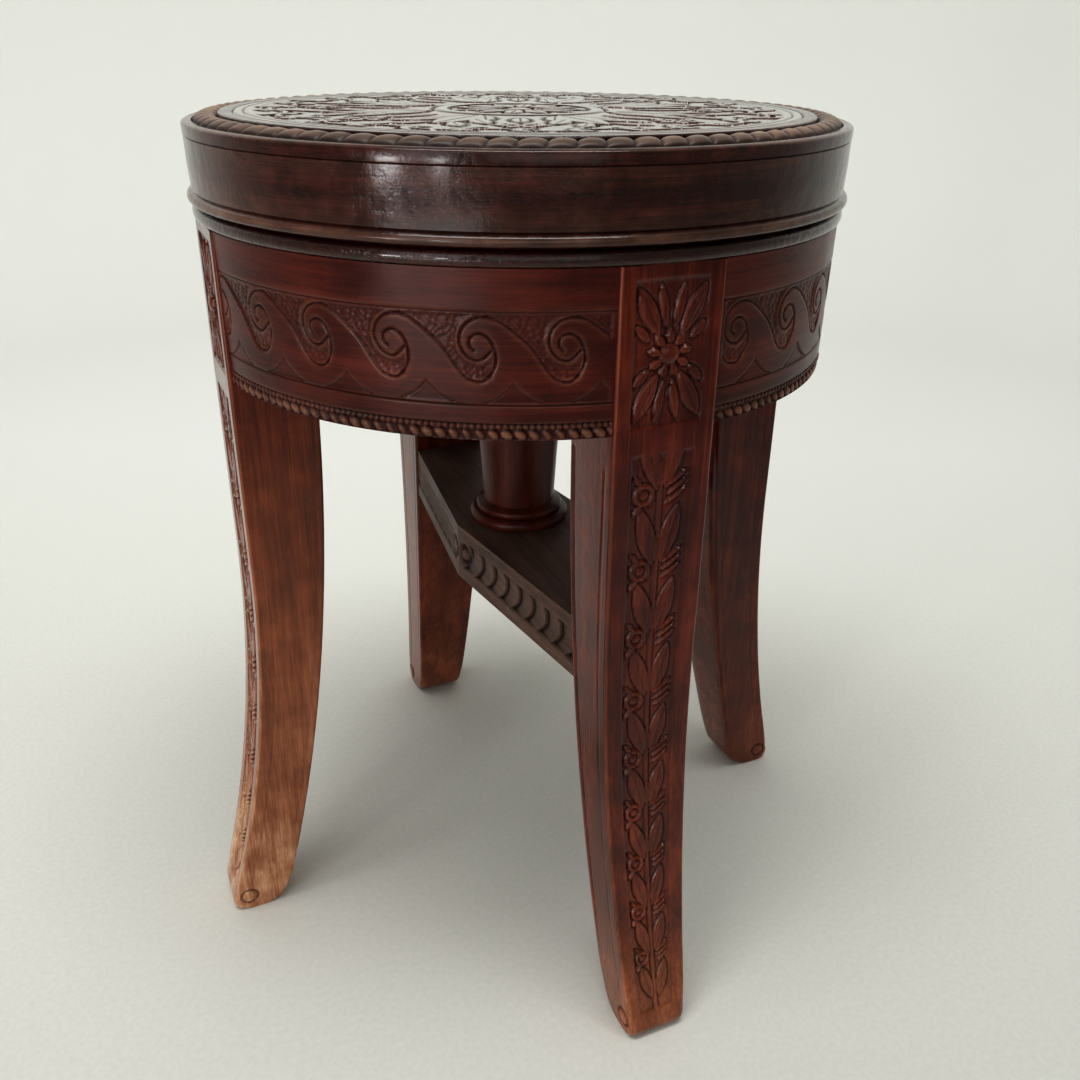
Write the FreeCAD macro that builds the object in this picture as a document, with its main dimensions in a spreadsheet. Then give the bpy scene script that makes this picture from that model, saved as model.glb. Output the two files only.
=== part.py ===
import FreeCAD, Part
import math
import operator
import os
import types

import Sketcher

# Revolving piano stool in carved hardwood.
# A round seat on an iron screw turns in a flanged nut let into the top of a round drum.
# Four sabre legs and four curved apron panels make the drum, and a lozenge stretcher between
# the front and back legs carries the hollow column that the screw runs down into.
# Frame: origin on the floor under the middle of the seat, +Z up, front leg at -Y, right leg at +X.
# All sizes are in millimetres.

SIZES = {
    # Sabre legs: radii are distances from the stool's axis to a leg's flat faces
    "leg_height": 442.6,
    "leg_width": 54.0,
    "leg_outer_radius": 176.5,
    "leg_inner_radius": 130.0,
    "foot_width": 36.0,
    "taper_height": 320.0,
    "outer_bend_height": 250.0,
    "inner_bend_height": 360.0,
    "toe_kick": 38.0,
    "heel_kick": 48.0,
    "toe_round": 7.0,
    "heel_round": 12.0,
    # Carving on a leg's face: a sunk panel with a climbing vine, and above it one with a flower
    "leg_relief": 1.6,
    "vine_bottom": 16.0,
    "vine_half": 17.3,
    "vine_foot_half": 11.6,
    "vine_stem": 2.0,
    "flower_drop": 6.1,
    "flower_height": 69.5,
    "flower_half": 19.5,
    "flower_spacing": 13.0,
    # Curved apron panels between the legs, with a raised band along the lower edge.
    # Their top edge stands out past the leg faces, and they taper in a little towards the bottom.
    "apron_height": 77.9,
    "apron_top_rise": 1.0,
    "apron_taper": 1.5,
    "apron_thickness": 21.5,
    "edge_band_height": 8.0,
    "edge_band_rise": 1.0,
    "joint_gap": 0.1,
    # Long dowels that run through each leg into the two panels beside it
    "dowel_radius": 4.0,
    "dowel_reach": 14.0,
    "dowel_inset": 20.0,
    "dowel_drop": 3.0,
    "dowel_skin": 10.0,
    # Glue blocks in the corners inside the drum, under its top
    "block_size": 22.0,
    "block_height": 50.0,
    # Drum top: a turned disc with a half-round rim and a boss that fits between the legs
    "rim_overhang": 2.7,
    "rim_thickness": 7.1,
    "rim_bulge": 2.4,
    "boss_depth": 18.0,
    "boss_gap": 0.3,
    # Countersunk wood screws
    "screw_head_radius": 4.8,
    "screw_shank_radius": 2.4,
    "screw_head_depth": 2.8,
    "screw_gap": 0.1,
    "top_screw_length": 30.0,
    # Flanged nut let into the drum top
    "nut_flange_radius": 42.0,
    "nut_flange_thickness": 5.0,
    "nut_body_radius": 23.0,
    "nut_end_gap": 0.5,
    "nut_screw_circle": 33.0,
    "nut_screw_length": 18.0,
    # Iron screw spindle with a forged collar
    "spindle_radius": 12.0,
    "spindle_length": 180.0,
    "spindle_chamfer": 2.0,
    "rivet_radius": 9.0,
    "thread_gap": 0.06,
    "stop_gap": 0.6,
    "collar_radius": 18.0,
    "collar_thickness": 4.0,
    # Leather washer trapped between the collar and the seat flange
    "washer_radius": 32.0,
    "washer_thickness": 4.0,
    "washer_play": 0.3,
    # Turned hollow column, tenoned through the stretcher and wedged from below
    "column_top_radius": 36.0,
    "column_neck_radius": 22.5,
    "column_torus_radius": 31.5,
    "column_torus_height": 7.5,
    "column_torus_bulge": 3.0,
    "column_ring_radius": 27.5,
    "column_ring_height": 5.0,
    "column_ring_bulge": 2.0,
    "column_neck_rise": 1.5,
    "column_bore_gap": 1.0,
    "column_bore_end": 12.0,
    "column_tenon_radius": 15.0,
    "wedge_thickness": 4.0,
    "wedge_taper": 1.2,
    "wedge_length": 20.0,
    # Lozenge stretcher tenoned into the front and back legs
    "stretcher_bottom": 211.0,
    "stretcher_thickness": 36.5,
    "stretcher_middle_width": 85.0,
    "stretcher_end_width": 50.0,
    "stretcher_corner_round": 5.0,
    "tenon_width": 30.0,
    "tenon_thickness": 16.0,
    "tenon_length": 20.0,
    # Seat: a turned hoop, a little wider than the legs, with a panel let into a rebate in its top
    "turning_gap": 0.9,
    "hoop_overhang": 2.0,
    "bead_height": 6.5,
    "bead_bulge": 2.5,
    "nosing_height": 6.5,
    "nosing_bulge": 1.1,
    "nosing_drop": 3.6,
    "rope_inset": 4.9,
    "rope_width": 12.3,
    "rope_drop": 2.0,
    "rope_rise": 1.1,
    "border_width": 7.8,
    "panel_thickness": 14.0,
    "panel_gap": 0.3,
    "ledge_width": 11.5,
    # Carving on the panel: a rosette in a ring, then eight leafy sprays with blossoms between them
    "panel_relief": 1.9,
    "panel_border": 9.2,
    "rosette_boss": 8.0,
    "petal_foot": 9.0,
    "petal_length": 27.0,
    "petal_width": 10.0,
    "rosette_ring": 47.0,
    "rosette_ring_width": 8.0,
    "spray_foot": 51.0,
    "spray_length": 57.0,
    "spray_width": 17.0,
    "side_leaf_width": 9.5,
    "blossom_circle": 108.0,
    "blossom_radius": 8.0,
    # Bearer across the underside of the panel, and the iron flange screwed to it
    "bearer_width": 90.0,
    "bearer_thickness": 11.4,
    "bearer_gap": 0.3,
    "bearer_screw_spread": 100.0,
    "bearer_screw_length": 20.0,
    "flange_radius": 50.0,
    "flange_thickness": 5.0,
    "flange_screw_circle": 38.0,
    "flange_screw_length": 14.0,
}

LEGS = {"right": 0.0, "back": 90.0, "left": 180.0, "front": 270.0}
PANELS = {"back_right": 0.0, "back_left": 90.0, "front_left": 180.0, "front_right": 270.0}
QUARTER = 90.0
FULL_TURN = 360.0
BEYOND = 10.0
RING_SCREW_COUNT = 4
BEARER_SCREW_COUNT = 2
PETAL_COUNT = 12
SPRAY_COUNT = 8

# The vine's joints, from the top down, as shares of its panel's height
VINE_JOINTS = 9
JOINTS_TOGETHER = 3
FIRST_JOINT = 0.065
FIRST_GAP = 0.1213
GAP_STEP = 0.0048
# Leaves on the carved panels, each as foot across, foot up, tip across, tip up and width. The
# vine's long leaves start beside its stem, and the bud is a disc: across, up and radius.
# Across and width are shares of a panel's half width. Up is a share of the gap between two joints
# of the vine, measured from a joint, or of the flower panel's height, measured from its middle.
VINE_LEAF = (-0.93, 0.66, -0.16, 0.54)
VINE_PETAL = (0.18, -0.12, 0.78, 0.16, 0.30)
VINE_BUD = (-0.52, 0.02, 0.30)
FLOWER_HEART = 0.56
CORNER_LEAF = (0.385, 0.151, 0.897, 0.456, 0.41)
UPRIGHT_LEAF = (0.123, 0.187, 0.308, 0.475, 0.236)
LEVEL_LEAF = (0.58, 0.09, 0.95, 0.20, 0.26)
# Two pairs of side leaves on a spray, as shares of the length of its middle leaf
SIDE_LEAVES = ((0.05, 0.05, 0.30, 0.58), (0.105, 0.40, 0.44, 0.88))

doc = FreeCAD.newDocument("piano_stool")
sheet = doc.addObject("Spreadsheet::Sheet", "Sizes")
for row, (word, number) in enumerate(SIZES.items(), start=1):
    sheet.set(f"A{row}", word)
    sheet.set(f"B{row}", str(number))
    sheet.setAlias(f"B{row}", word)
doc.recompute()


class Size:
    """A length together with the sheet expression that keeps it."""

    def __init__(self, value, text):
        self.value = value
        self.text = text

    def __add__(self, other):
        return combine(operator.add, "+", self, other)

    def __sub__(self, other):
        return combine(operator.sub, "-", self, other)

    def __mul__(self, other):
        return combine(operator.mul, "*", self, other)

    def __truediv__(self, other):
        return combine(operator.truediv, "/", self, other)

    def __neg__(self):
        return Size(-self.value, f"(0 - {self.text})")


def plain(number):
    return Size(float(number), str(number))


def combine(work, sign, left, right):
    right = right if isinstance(right, Size) else plain(right)
    return Size(work(left.value, right.value), f"({left.text} {sign} {right.text})")


def root(size):
    return Size(math.sqrt(size.value), f"sqrt({size.text})")


def across(radius, offset):
    """Distance along one axis to a circle of this radius, at an offset along the other axis."""
    return root(radius * radius - offset * offset)


def bow(chord, rise):
    """Radius of the arc over a chord with the given rise."""
    return (chord * chord / 4 + rise * rise) / (rise * 2)


def sweep(height, kick):
    """Radius of the arc that leaves a vertical line and kicks out by this much over this height."""
    return (height * height + kick * kick) / (kick * 2)


S = types.SimpleNamespace(**{word: Size(number, f"Sizes.{word}") for word, number in SIZES.items()})
ZERO = plain(0)

# Heights, from the floor up
apron_bottom = S.leg_height - S.apron_height
boss_bottom = S.leg_height - S.boss_depth
drum_top_height = S.leg_height + S.rim_thickness
stretcher_top = S.stretcher_bottom + S.stretcher_thickness
stretcher_middle = S.stretcher_bottom + S.stretcher_thickness / 2
nut_top = drum_top_height + S.nut_flange_thickness
nut_screw_tip = nut_top - S.nut_screw_length
collar_bottom = nut_top + S.stop_gap
collar_top = collar_bottom + S.collar_thickness
washer_top = collar_top + S.washer_thickness
flange_bottom = washer_top + S.washer_play
bearer_bottom = flange_bottom + S.flange_thickness
panel_bottom = bearer_bottom + S.bearer_thickness
panel_top = panel_bottom + S.panel_thickness
hoop_bottom = drum_top_height + S.turning_gap
spindle_bottom = collar_bottom - S.spindle_length

# Radii and half widths that several pieces share
leg_half = S.leg_width / 2
panel_end = leg_half + S.joint_gap
apron_top_radius = S.leg_outer_radius + S.apron_top_rise
apron_bottom_radius = apron_top_radius - S.apron_taper
apron_inner = apron_bottom_radius - S.apron_thickness
top_screw_circle = (S.leg_outer_radius + S.leg_inner_radius) / 2
top_screw_tip = drum_top_height - S.top_screw_length
hoop_radius = S.leg_outer_radius + S.hoop_overhang
rope_outer_radius = hoop_radius - S.rope_inset
rope_inner_radius = rope_outer_radius - S.rope_width
rebate_radius = rope_inner_radius - S.border_width
panel_radius = rebate_radius - S.panel_gap
hoop_bore = panel_radius - S.ledge_width
inner_sweep = sweep(S.inner_bend_height, S.heel_kick)
outer_sweep = sweep(S.outer_bend_height, S.toe_kick)

# Carved panels on the legs
flower_top = S.leg_height - S.flower_drop
flower_bottom = flower_top - S.flower_height
vine_top = flower_bottom - S.flower_spacing
vine_length = vine_top - S.vine_bottom

# Dowels: one near the bottom of each panel and one under the tip of the drum top's screw
dowel_line = across(apron_bottom_radius, panel_end) - S.dowel_skin
dowel_heights = (apron_bottom + S.dowel_inset, top_screw_tip - S.dowel_drop - S.dowel_radius)


def leg_inner_face(height, gap):
    """Distance from the axis to the curved inner face of a leg at a height, moved in by a gap."""
    drop = S.inner_bend_height - height
    return S.leg_inner_radius + inner_sweep - across(inner_sweep + gap, drop)


def leg_toe(depth):
    """Distance from the axis to a leg's outer face at the floor, moved in by a depth."""
    return S.leg_outer_radius + outer_sweep - across(outer_sweep + depth, S.outer_bend_height)


def new_body(name, turn=0.0):
    body = doc.addObject("PartDesign::Body", name)
    body.Label = name
    body.AllowCompound = True
    body.Placement = FreeCAD.Placement(FreeCAD.Vector(), FreeCAD.Rotation(FreeCAD.Vector(0, 0, 1), turn))
    return body


def origin_part(body, role):
    return next(part for part in body.Origin.OriginFeatures if part.Role == role)


def new_sketch(body, role, offset=None):
    """A sketch on one of the body's own origin planes, moved along the plane's normal by an offset."""
    sketch = body.newObject("Sketcher::SketchObject", f"{body.Name}_sketch")
    sketch.AttachmentSupport = [(origin_part(body, role), "")]
    sketch.MapMode = "FlatFace"
    if offset is not None:
        sketch.AttachmentOffset = FreeCAD.Placement(FreeCAD.Vector(0, 0, offset.value), FreeCAD.Rotation())
        sketch.setExpression("AttachmentOffset.Base.z", offset.text)
    return sketch


def bind(sketch, rules):
    """Add constraints, each given as the size that drives it, or None, and its own words."""
    first = sketch.ConstraintCount
    sketch.addConstraint([Sketcher.Constraint(*words, *([size.value] if size else []))
                          for size, *words in rules])
    for index, (size, *_) in enumerate(rules, start=first):
        if size:
            sketch.setExpression(f"Constraints[{index}]", size.text)


def pinned(geometry, point, x, y):
    """Rules that hold a point at a place."""
    return [(x, "DistanceX", -1, 1, geometry, point), (y, "DistanceY", -1, 1, geometry, point)]


def arc_between(start, end, radius, turns_left):
    """The shorter arc of a radius from start to end, turning left or right on the way."""
    middle = (start + end) * 0.5
    half = (end - start) * 0.5
    reach = math.sqrt(max(radius ** 2 - half.Length ** 2, 0.0))
    aside = FreeCAD.Vector(-half.y, half.x, 0).normalize() * (reach if turns_left else -reach)
    centre = middle + aside
    first, last = (start, end) if turns_left else (end, start)
    angles = [math.atan2(point.y - centre.y, point.x - centre.x) for point in (first, last)]
    circle = Part.Circle(centre, FreeCAD.Vector(0, 0, 1), radius)
    return Part.ArcOfCircle(circle, angles[0], angles[1])


def outline(sketch, corners):
    """A closed outline. A corner is (x, y), or (x, y, radius, "left" or "right") for an arc to it."""
    ends = []
    for index, (x, y, *arc) in enumerate(corners):
        previous_x, previous_y, *_ = corners[index - 1]
        start = FreeCAD.Vector(previous_x.value, previous_y.value, 0)
        end = FreeCAD.Vector(x.value, y.value, 0)
        if arc:
            radius, hand = arc
            turns_left = hand == "left"
            geometry = sketch.addGeometry(arc_between(start, end, radius.value, turns_left))
            ends.append((geometry, 1, 2) if turns_left else (geometry, 2, 1))
        else:
            geometry = sketch.addGeometry(Part.LineSegment(start, end))
            ends.append((geometry, 1, 2))
    rules = []
    for index, (x, y, *arc) in enumerate(corners):
        geometry, first, last = ends[index]
        before, _, before_last = ends[index - 1]
        rules.append((None, "Coincident", before, before_last, geometry, first))
        rules += pinned(geometry, last, x, y)
        if arc:
            rules.append((arc[0], "Radius", geometry))
    bind(sketch, rules)


def rectangle(sketch, left, bottom, right, top):
    outline(sketch, [(left, bottom), (right, bottom), (right, top), (left, top)])


def ring(sketch, x, y, radius):
    centre = FreeCAD.Vector(x.value, y.value, 0)
    geometry = sketch.addGeometry(Part.Circle(centre, FreeCAD.Vector(0, 0, 1), radius.value))
    bind(sketch, pinned(geometry, 3, x, y) + [(radius, "Radius", geometry)])


def leaf(sketch, foot, tip, width):
    """A pointed oval between two points."""
    foot_x, foot_y = foot
    tip_x, tip_y = tip
    run = tip_x - foot_x
    climb = tip_y - foot_y
    rise = width / 2
    side = ((run * run + climb * climb) / 4 + rise * rise) / width
    outline(sketch, [(tip_x, tip_y, side, "left"), (foot_x, foot_y, side, "left")])


def turned(body, sketch, angle=FULL_TURN):
    """Spin a sketch about its own vertical axis."""
    feature = body.newObject("PartDesign::Revolution", f"{body.Name}_turned")
    feature.Profile = sketch
    feature.ReferenceAxis = (sketch, ["V_Axis"])
    feature.Angle = angle
    return feature


def extruded(body, kind, sketch, length, both_ways, backwards=False):
    """A Pad or Pocket of a length, or a Pocket through everything when the length is None."""
    feature = body.newObject(f"PartDesign::{kind}", f"{body.Name}_{kind.lower()}")
    feature.Profile = sketch
    feature.SideType = "Symmetric" if both_ways else "One side"
    feature.Reversed = backwards
    if length is None:
        feature.Type = "ThroughAll"
    else:
        feature.Length = length.value
        feature.setExpression("Length", length.text)
    return feature


def raised(body, sketch, height):
    """Pad carved forms, and leave it to a later feature to merge their faces."""
    feature = extruded(body, "Pad", sketch, height, both_ways=False)
    feature.Refine = False
    return feature


def around(body, feature, copies):
    """Repeat a feature evenly about the stool's axis."""
    pattern = body.newObject("PartDesign::PolarPattern", f"{body.Name}_around")
    pattern.Originals = [feature]
    pattern.Axis = (origin_part(body, "Z_Axis"), [""])
    pattern.Angle = FULL_TURN
    pattern.Occurrences = copies
    pattern.Refine = feature.Refine
    body.Tip = pattern
    return pattern


def rounded(body, feature, radius, is_wanted):
    """Fillet the edges of a feature that pass a test."""
    doc.recompute()
    edges = [f"Edge{n}" for n, edge in enumerate(feature.Shape.Edges, start=1) if is_wanted(edge)]
    fillet = body.newObject("PartDesign::Fillet", f"{body.Name}_round")
    fillet.Base = (feature, edges)
    fillet.Radius = radius.value
    fillet.setExpression("Radius", radius.text)
    return fillet


def screw(body, kind, distance, head, tip, gap):
    """A countersunk screw at a distance from the axis, or with a gap all round, the hole for it."""
    sketch = new_sketch(body, "XZ_Plane")
    points_up = tip.value > head.value
    down = plain(1 if points_up else -1)
    neck = head + S.screw_head_depth * down
    end = tip + gap * down
    wide = distance + S.screw_head_radius + gap
    slim = distance + S.screw_shank_radius + gap
    outline(sketch, [(distance, head), (wide, head), (slim, neck), (slim, end), (distance, end)])
    spine = sketch.addGeometry(Part.LineSegment(FreeCAD.Vector(distance.value, head.value, 0),
                                                FreeCAD.Vector(distance.value, end.value, 0)), True)
    bind(sketch, pinned(spine, 1, distance, head) + pinned(spine, 2, distance, end))
    feature = body.newObject(f"PartDesign::{kind}", f"{body.Name}_screw")
    feature.Profile = sketch
    feature.ReferenceAxis = (sketch, ["Axis0"])
    feature.Angle = FULL_TURN
    return feature


def screw_set(name, distance, head, tip, copies):
    body = new_body(name)
    around(body, screw(body, "Revolution", distance, head, tip, ZERO), copies)


def draw_joint(forms, number):
    """One joint of the vine: a bud, a petal and the pair of long leaves below them."""
    drop = FIRST_JOINT + FIRST_GAP * number - GAP_STEP * number * (number - 1) / 2
    joint = vine_top - vine_length * round(drop, 4)
    gap = vine_length * round(FIRST_GAP - GAP_STEP * number, 4)
    room = S.vine_half - (S.vine_half - S.vine_foot_half) * round(drop ** 2, 4)
    foot_up, spread, tip_up, width = VINE_LEAF
    for hand in (-1, 1):
        leaf(forms, (S.vine_stem * hand, joint + gap * foot_up),
             (room * (spread * hand), joint + gap * tip_up), room * width)
    foot, foot_up, tip, tip_up, width = VINE_PETAL
    leaf(forms, (room * foot, joint + gap * foot_up), (room * tip, joint + gap * tip_up), room * width)
    aside, up, radius = VINE_BUD
    ring(forms, room * aside, joint + gap * up, room * radius)


def carve_vine(body, reach):
    """The leaves, buds and petals of the vine, a few joints at a time."""
    for first in range(0, VINE_JOINTS, JOINTS_TOGETHER):
        forms = new_sketch(body, "YZ_Plane", S.leg_inner_radius)
        for number in range(first, first + JOINTS_TOGETHER):
            draw_joint(forms, number)
        raised(body, forms, reach)


def carve_flower(body, reach):
    """The flower's heart and the leaves round it."""
    middle = flower_bottom + S.flower_height / 2
    forms = new_sketch(body, "YZ_Plane", S.leg_inner_radius)
    ring(forms, ZERO, middle, S.flower_half * FLOWER_HEART)
    for foot, foot_up, tip, tip_up, width in (CORNER_LEAF, UPRIGHT_LEAF, LEVEL_LEAF):
        for hand, end in ((-1, -1), (1, -1), (-1, 1), (1, 1)):
            leaf(forms, (S.flower_half * (foot * hand), middle + S.flower_height * (foot_up * end)),
                 (S.flower_half * (tip * hand), middle + S.flower_height * (tip_up * end)),
                 S.flower_half * width)
    raised(body, forms, reach)


def make_leg(side, turn):
    body = new_body(f"leg_{side}", turn)
    toe = leg_toe(ZERO)
    heel = S.leg_inner_radius + S.heel_kick
    below = -plain(BEYOND)
    above = S.leg_height + BEYOND
    ground = S.leg_outer_radius - S.leg_relief
    skin_depth = S.leg_relief * 2
    skin_back = S.leg_outer_radius - skin_depth
    skin_sweep = outer_sweep + skin_depth
    skin_view = new_sketch(body, "XZ_Plane")
    outline(skin_view, [
        (skin_back, S.leg_height),
        (skin_back, S.outer_bend_height),
        (leg_toe(skin_depth), ZERO, skin_sweep, "left"),
        (toe, ZERO),
        (S.leg_outer_radius, S.outer_bend_height, outer_sweep, "right"),
        (S.leg_outer_radius, S.leg_height),
    ])
    extruded(body, "Pad", skin_view, S.leg_width, both_ways=True)
    panels = new_sketch(body, "YZ_Plane")
    edge = sweep(vine_length, S.vine_half - S.vine_foot_half)
    outline(panels, [(S.vine_half, vine_top, edge, "left"), (-S.vine_half, vine_top),
                     (-S.vine_foot_half, S.vine_bottom, edge, "left"), (S.vine_foot_half, S.vine_bottom)])
    rectangle(panels, -S.flower_half, flower_bottom, S.flower_half, flower_top)
    extruded(body, "Pocket", panels, None, both_ways=True)
    reach = toe - S.leg_inner_radius + BEYOND
    carve_vine(body, reach)
    carve_flower(body, reach)
    trimmed = new_sketch(body, "XZ_Plane")
    clear = toe + BEYOND * 2
    behind = S.leg_inner_radius - BEYOND
    outline(trimmed, [
        (clear, below),
        (clear, above),
        (S.leg_outer_radius, above),
        (S.leg_outer_radius, S.outer_bend_height),
        (toe, ZERO, outer_sweep, "left"),
        (toe, below),
    ])
    outline(trimmed, [
        (behind, below),
        (leg_toe(skin_depth), below),
        (leg_toe(skin_depth), ZERO),
        (skin_back, S.outer_bend_height, skin_sweep, "right"),
        (skin_back, above),
        (behind, above),
    ])
    extruded(body, "Pocket", trimmed, None, both_ways=True)
    side_view = new_sketch(body, "XZ_Plane")
    outline(side_view, [
        (S.leg_inner_radius, S.leg_height),
        (S.leg_inner_radius, S.inner_bend_height),
        (heel, ZERO, inner_sweep, "left"),
        (leg_toe(S.leg_relief), ZERO),
        (ground, S.outer_bend_height, outer_sweep + S.leg_relief, "right"),
        (ground, S.leg_height),
    ])
    extruded(body, "Pad", side_view, S.leg_width, both_ways=True)
    front_view = new_sketch(body, "YZ_Plane")
    foot_half = S.foot_width / 2
    taper = sweep(S.taper_height, leg_half - foot_half)
    waste = leg_half + BEYOND
    outline(front_view, [(leg_half, S.taper_height), (foot_half, ZERO, taper, "right"),
                         (foot_half, below), (waste, below), (waste, S.taper_height)])
    outline(front_view, [(-leg_half, S.taper_height), (-foot_half, ZERO, taper, "left"),
                         (-foot_half, below), (-waste, below), (-waste, S.taper_height)])
    tapered = extruded(body, "Pocket", front_view, None, both_ways=True)
    floor_level = 0.01
    corner_between = (heel.value + toe.value) / 2
    toed = rounded(body, tapered, S.toe_round, lambda edge: edge.BoundBox.ZMax < floor_level
                   and edge.BoundBox.XMin > corner_between)
    rounded(body, toed, S.heel_round, lambda edge: edge.BoundBox.ZMax < floor_level
            and edge.BoundBox.XMax < corner_between)
    dowel_holes = new_sketch(body, "XZ_Plane")
    for height in dowel_heights:
        ring(dowel_holes, dowel_line, height, S.dowel_radius + S.joint_gap)
    extruded(body, "Pocket", dowel_holes, None, both_ways=True)
    screw(body, "Groove", top_screw_circle, drum_top_height, top_screw_tip, S.screw_gap)
    if side in ("front", "back"):
        depth = leg_inner_face(stretcher_middle, S.joint_gap) + S.tenon_length + S.joint_gap
        mortise = new_sketch(body, "YZ_Plane", depth)
        half_width = S.tenon_width / 2 + S.joint_gap
        half_height = S.tenon_thickness / 2 + S.joint_gap
        rectangle(mortise, -half_width, stretcher_middle - half_height,
                  half_width, stretcher_middle + half_height)
        extruded(body, "Pocket", mortise, None, both_ways=False)


def make_apron(side, turn):
    body = new_body(f"apron_{side}", turn)
    section = new_sketch(body, "XZ_Plane")
    band_top = apron_bottom + S.edge_band_height
    band_outer = apron_bottom_radius + S.edge_band_rise
    outline(section, [
        (apron_inner, apron_bottom),
        (apron_bottom_radius, apron_bottom),
        (band_outer, apron_bottom + S.edge_band_rise),
        (band_outer, band_top - S.edge_band_rise),
        (apron_bottom_radius, band_top),
        (apron_top_radius, S.leg_height),
        (apron_inner, S.leg_height),
    ])
    turned(body, section, QUARTER)
    ends = new_sketch(body, "XY_Plane")
    far = apron_top_radius + BEYOND
    outside = -plain(BEYOND)
    outline(ends, [(outside, outside), (far, outside), (far, panel_end), (panel_end, panel_end),
                   (panel_end, far), (outside, far)])
    extruded(body, "Pocket", ends, None, both_ways=True)
    depth = panel_end + S.dowel_reach
    for role, along, backwards in (("XZ_Plane", dowel_line, False), ("YZ_Plane", dowel_line, True)):
        holes = new_sketch(body, role)
        for height in dowel_heights:
            ring(holes, along, height, S.dowel_radius + S.joint_gap)
        extruded(body, "Pocket", holes, depth, both_ways=False, backwards=backwards)


def make_dowels():
    body = new_body("apron_dowels")
    ends = new_sketch(body, "XZ_Plane")
    for height in dowel_heights:
        ring(ends, dowel_line, height, S.dowel_radius)
    reach = panel_end + S.dowel_reach - S.joint_gap
    around(body, extruded(body, "Pad", ends, reach * 2, both_ways=True), len(LEGS))


def make_glue_block(side, turn, hand, mirror):
    body = new_body(f"glue_block_{side}_{hand}", turn)
    plan = new_sketch(body, "XY_Plane", boss_bottom - S.joint_gap - S.block_height)
    seat = apron_inner - S.joint_gap
    near = panel_end
    away = near + S.block_size
    near_arc = across(seat, near)
    away_arc = across(seat, away)
    outline(plan, [(near_arc - S.block_size, near * mirror), (near_arc, near * mirror),
                   (away_arc, away * mirror, seat, "left" if mirror > 0 else "right")])
    extruded(body, "Pad", plan, S.block_height, both_ways=False)


def make_drum_top():
    body = new_body("drum_top")
    section = new_sketch(body, "XZ_Plane")
    bore = S.nut_body_radius + S.joint_gap
    boss = S.leg_inner_radius - S.boss_gap
    edge = S.leg_outer_radius + S.rim_overhang - S.rim_bulge
    outline(section, [
        (bore, boss_bottom),
        (boss, boss_bottom),
        (boss, S.leg_height),
        (edge, S.leg_height),
        (edge, drum_top_height, bow(S.rim_thickness, S.rim_bulge), "left"),
        (bore, drum_top_height),
    ])
    turned(body, section)
    around(body, screw(body, "Groove", top_screw_circle, drum_top_height, top_screw_tip, S.screw_gap),
           len(LEGS))
    around(body, screw(body, "Groove", S.nut_screw_circle, nut_top, nut_screw_tip, S.screw_gap),
           RING_SCREW_COUNT)


def make_nut():
    body = new_body("screw_nut")
    section = new_sketch(body, "XZ_Plane")
    bore = S.spindle_radius + S.thread_gap
    outline(section, [
        (bore, boss_bottom + S.nut_end_gap),
        (S.nut_body_radius, boss_bottom + S.nut_end_gap),
        (S.nut_body_radius, drum_top_height),
        (S.nut_flange_radius, drum_top_height),
        (S.nut_flange_radius, nut_top),
        (bore, nut_top),
    ])
    turned(body, section)
    around(body, screw(body, "Groove", S.nut_screw_circle, nut_top, nut_screw_tip, S.screw_gap),
           RING_SCREW_COUNT)


def make_column():
    body = new_body("column")
    section = new_sketch(body, "XZ_Plane")
    bore = S.spindle_radius + S.column_bore_gap
    torus_foot = S.column_torus_radius - S.column_torus_bulge
    torus_top = stretcher_top + S.column_torus_height
    ring_foot = S.column_ring_radius - S.column_ring_bulge
    ring_top = torus_top + S.column_ring_height
    bore_floor = spindle_bottom - S.column_bore_end
    outline(section, [
        (ZERO, S.stretcher_bottom),
        (S.column_tenon_radius, S.stretcher_bottom),
        (S.column_tenon_radius, stretcher_top),
        (torus_foot, stretcher_top),
        (torus_foot, torus_top, bow(S.column_torus_height, S.column_torus_bulge), "left"),
        (ring_foot, torus_top),
        (ring_foot, ring_top, bow(S.column_ring_height, S.column_ring_bulge), "left"),
        (S.column_neck_radius, ring_top + S.column_neck_rise),
        (S.column_top_radius, boss_bottom),
        (bore, boss_bottom),
        (bore, bore_floor),
        (ZERO, bore_floor),
    ])
    turned(body, section)
    slot = new_sketch(body, "XZ_Plane")
    half = S.wedge_thickness / 2 + S.joint_gap
    rectangle(slot, -half, S.stretcher_bottom - BEYOND, half, S.stretcher_bottom + S.wedge_length)
    extruded(body, "Pocket", slot, None, both_ways=True)


def make_wedge():
    body = new_body("column_wedge")
    front_view = new_sketch(body, "XZ_Plane")
    wide = S.wedge_thickness / 2
    slim = wide - S.wedge_taper / 2
    tip = S.stretcher_bottom + S.wedge_length - S.joint_gap
    outline(front_view, [(-wide, S.stretcher_bottom), (wide, S.stretcher_bottom),
                         (slim, tip), (-slim, tip)])
    chord = across(S.column_tenon_radius, wide)
    extruded(body, "Pad", front_view, chord * 2, both_ways=True)


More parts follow.
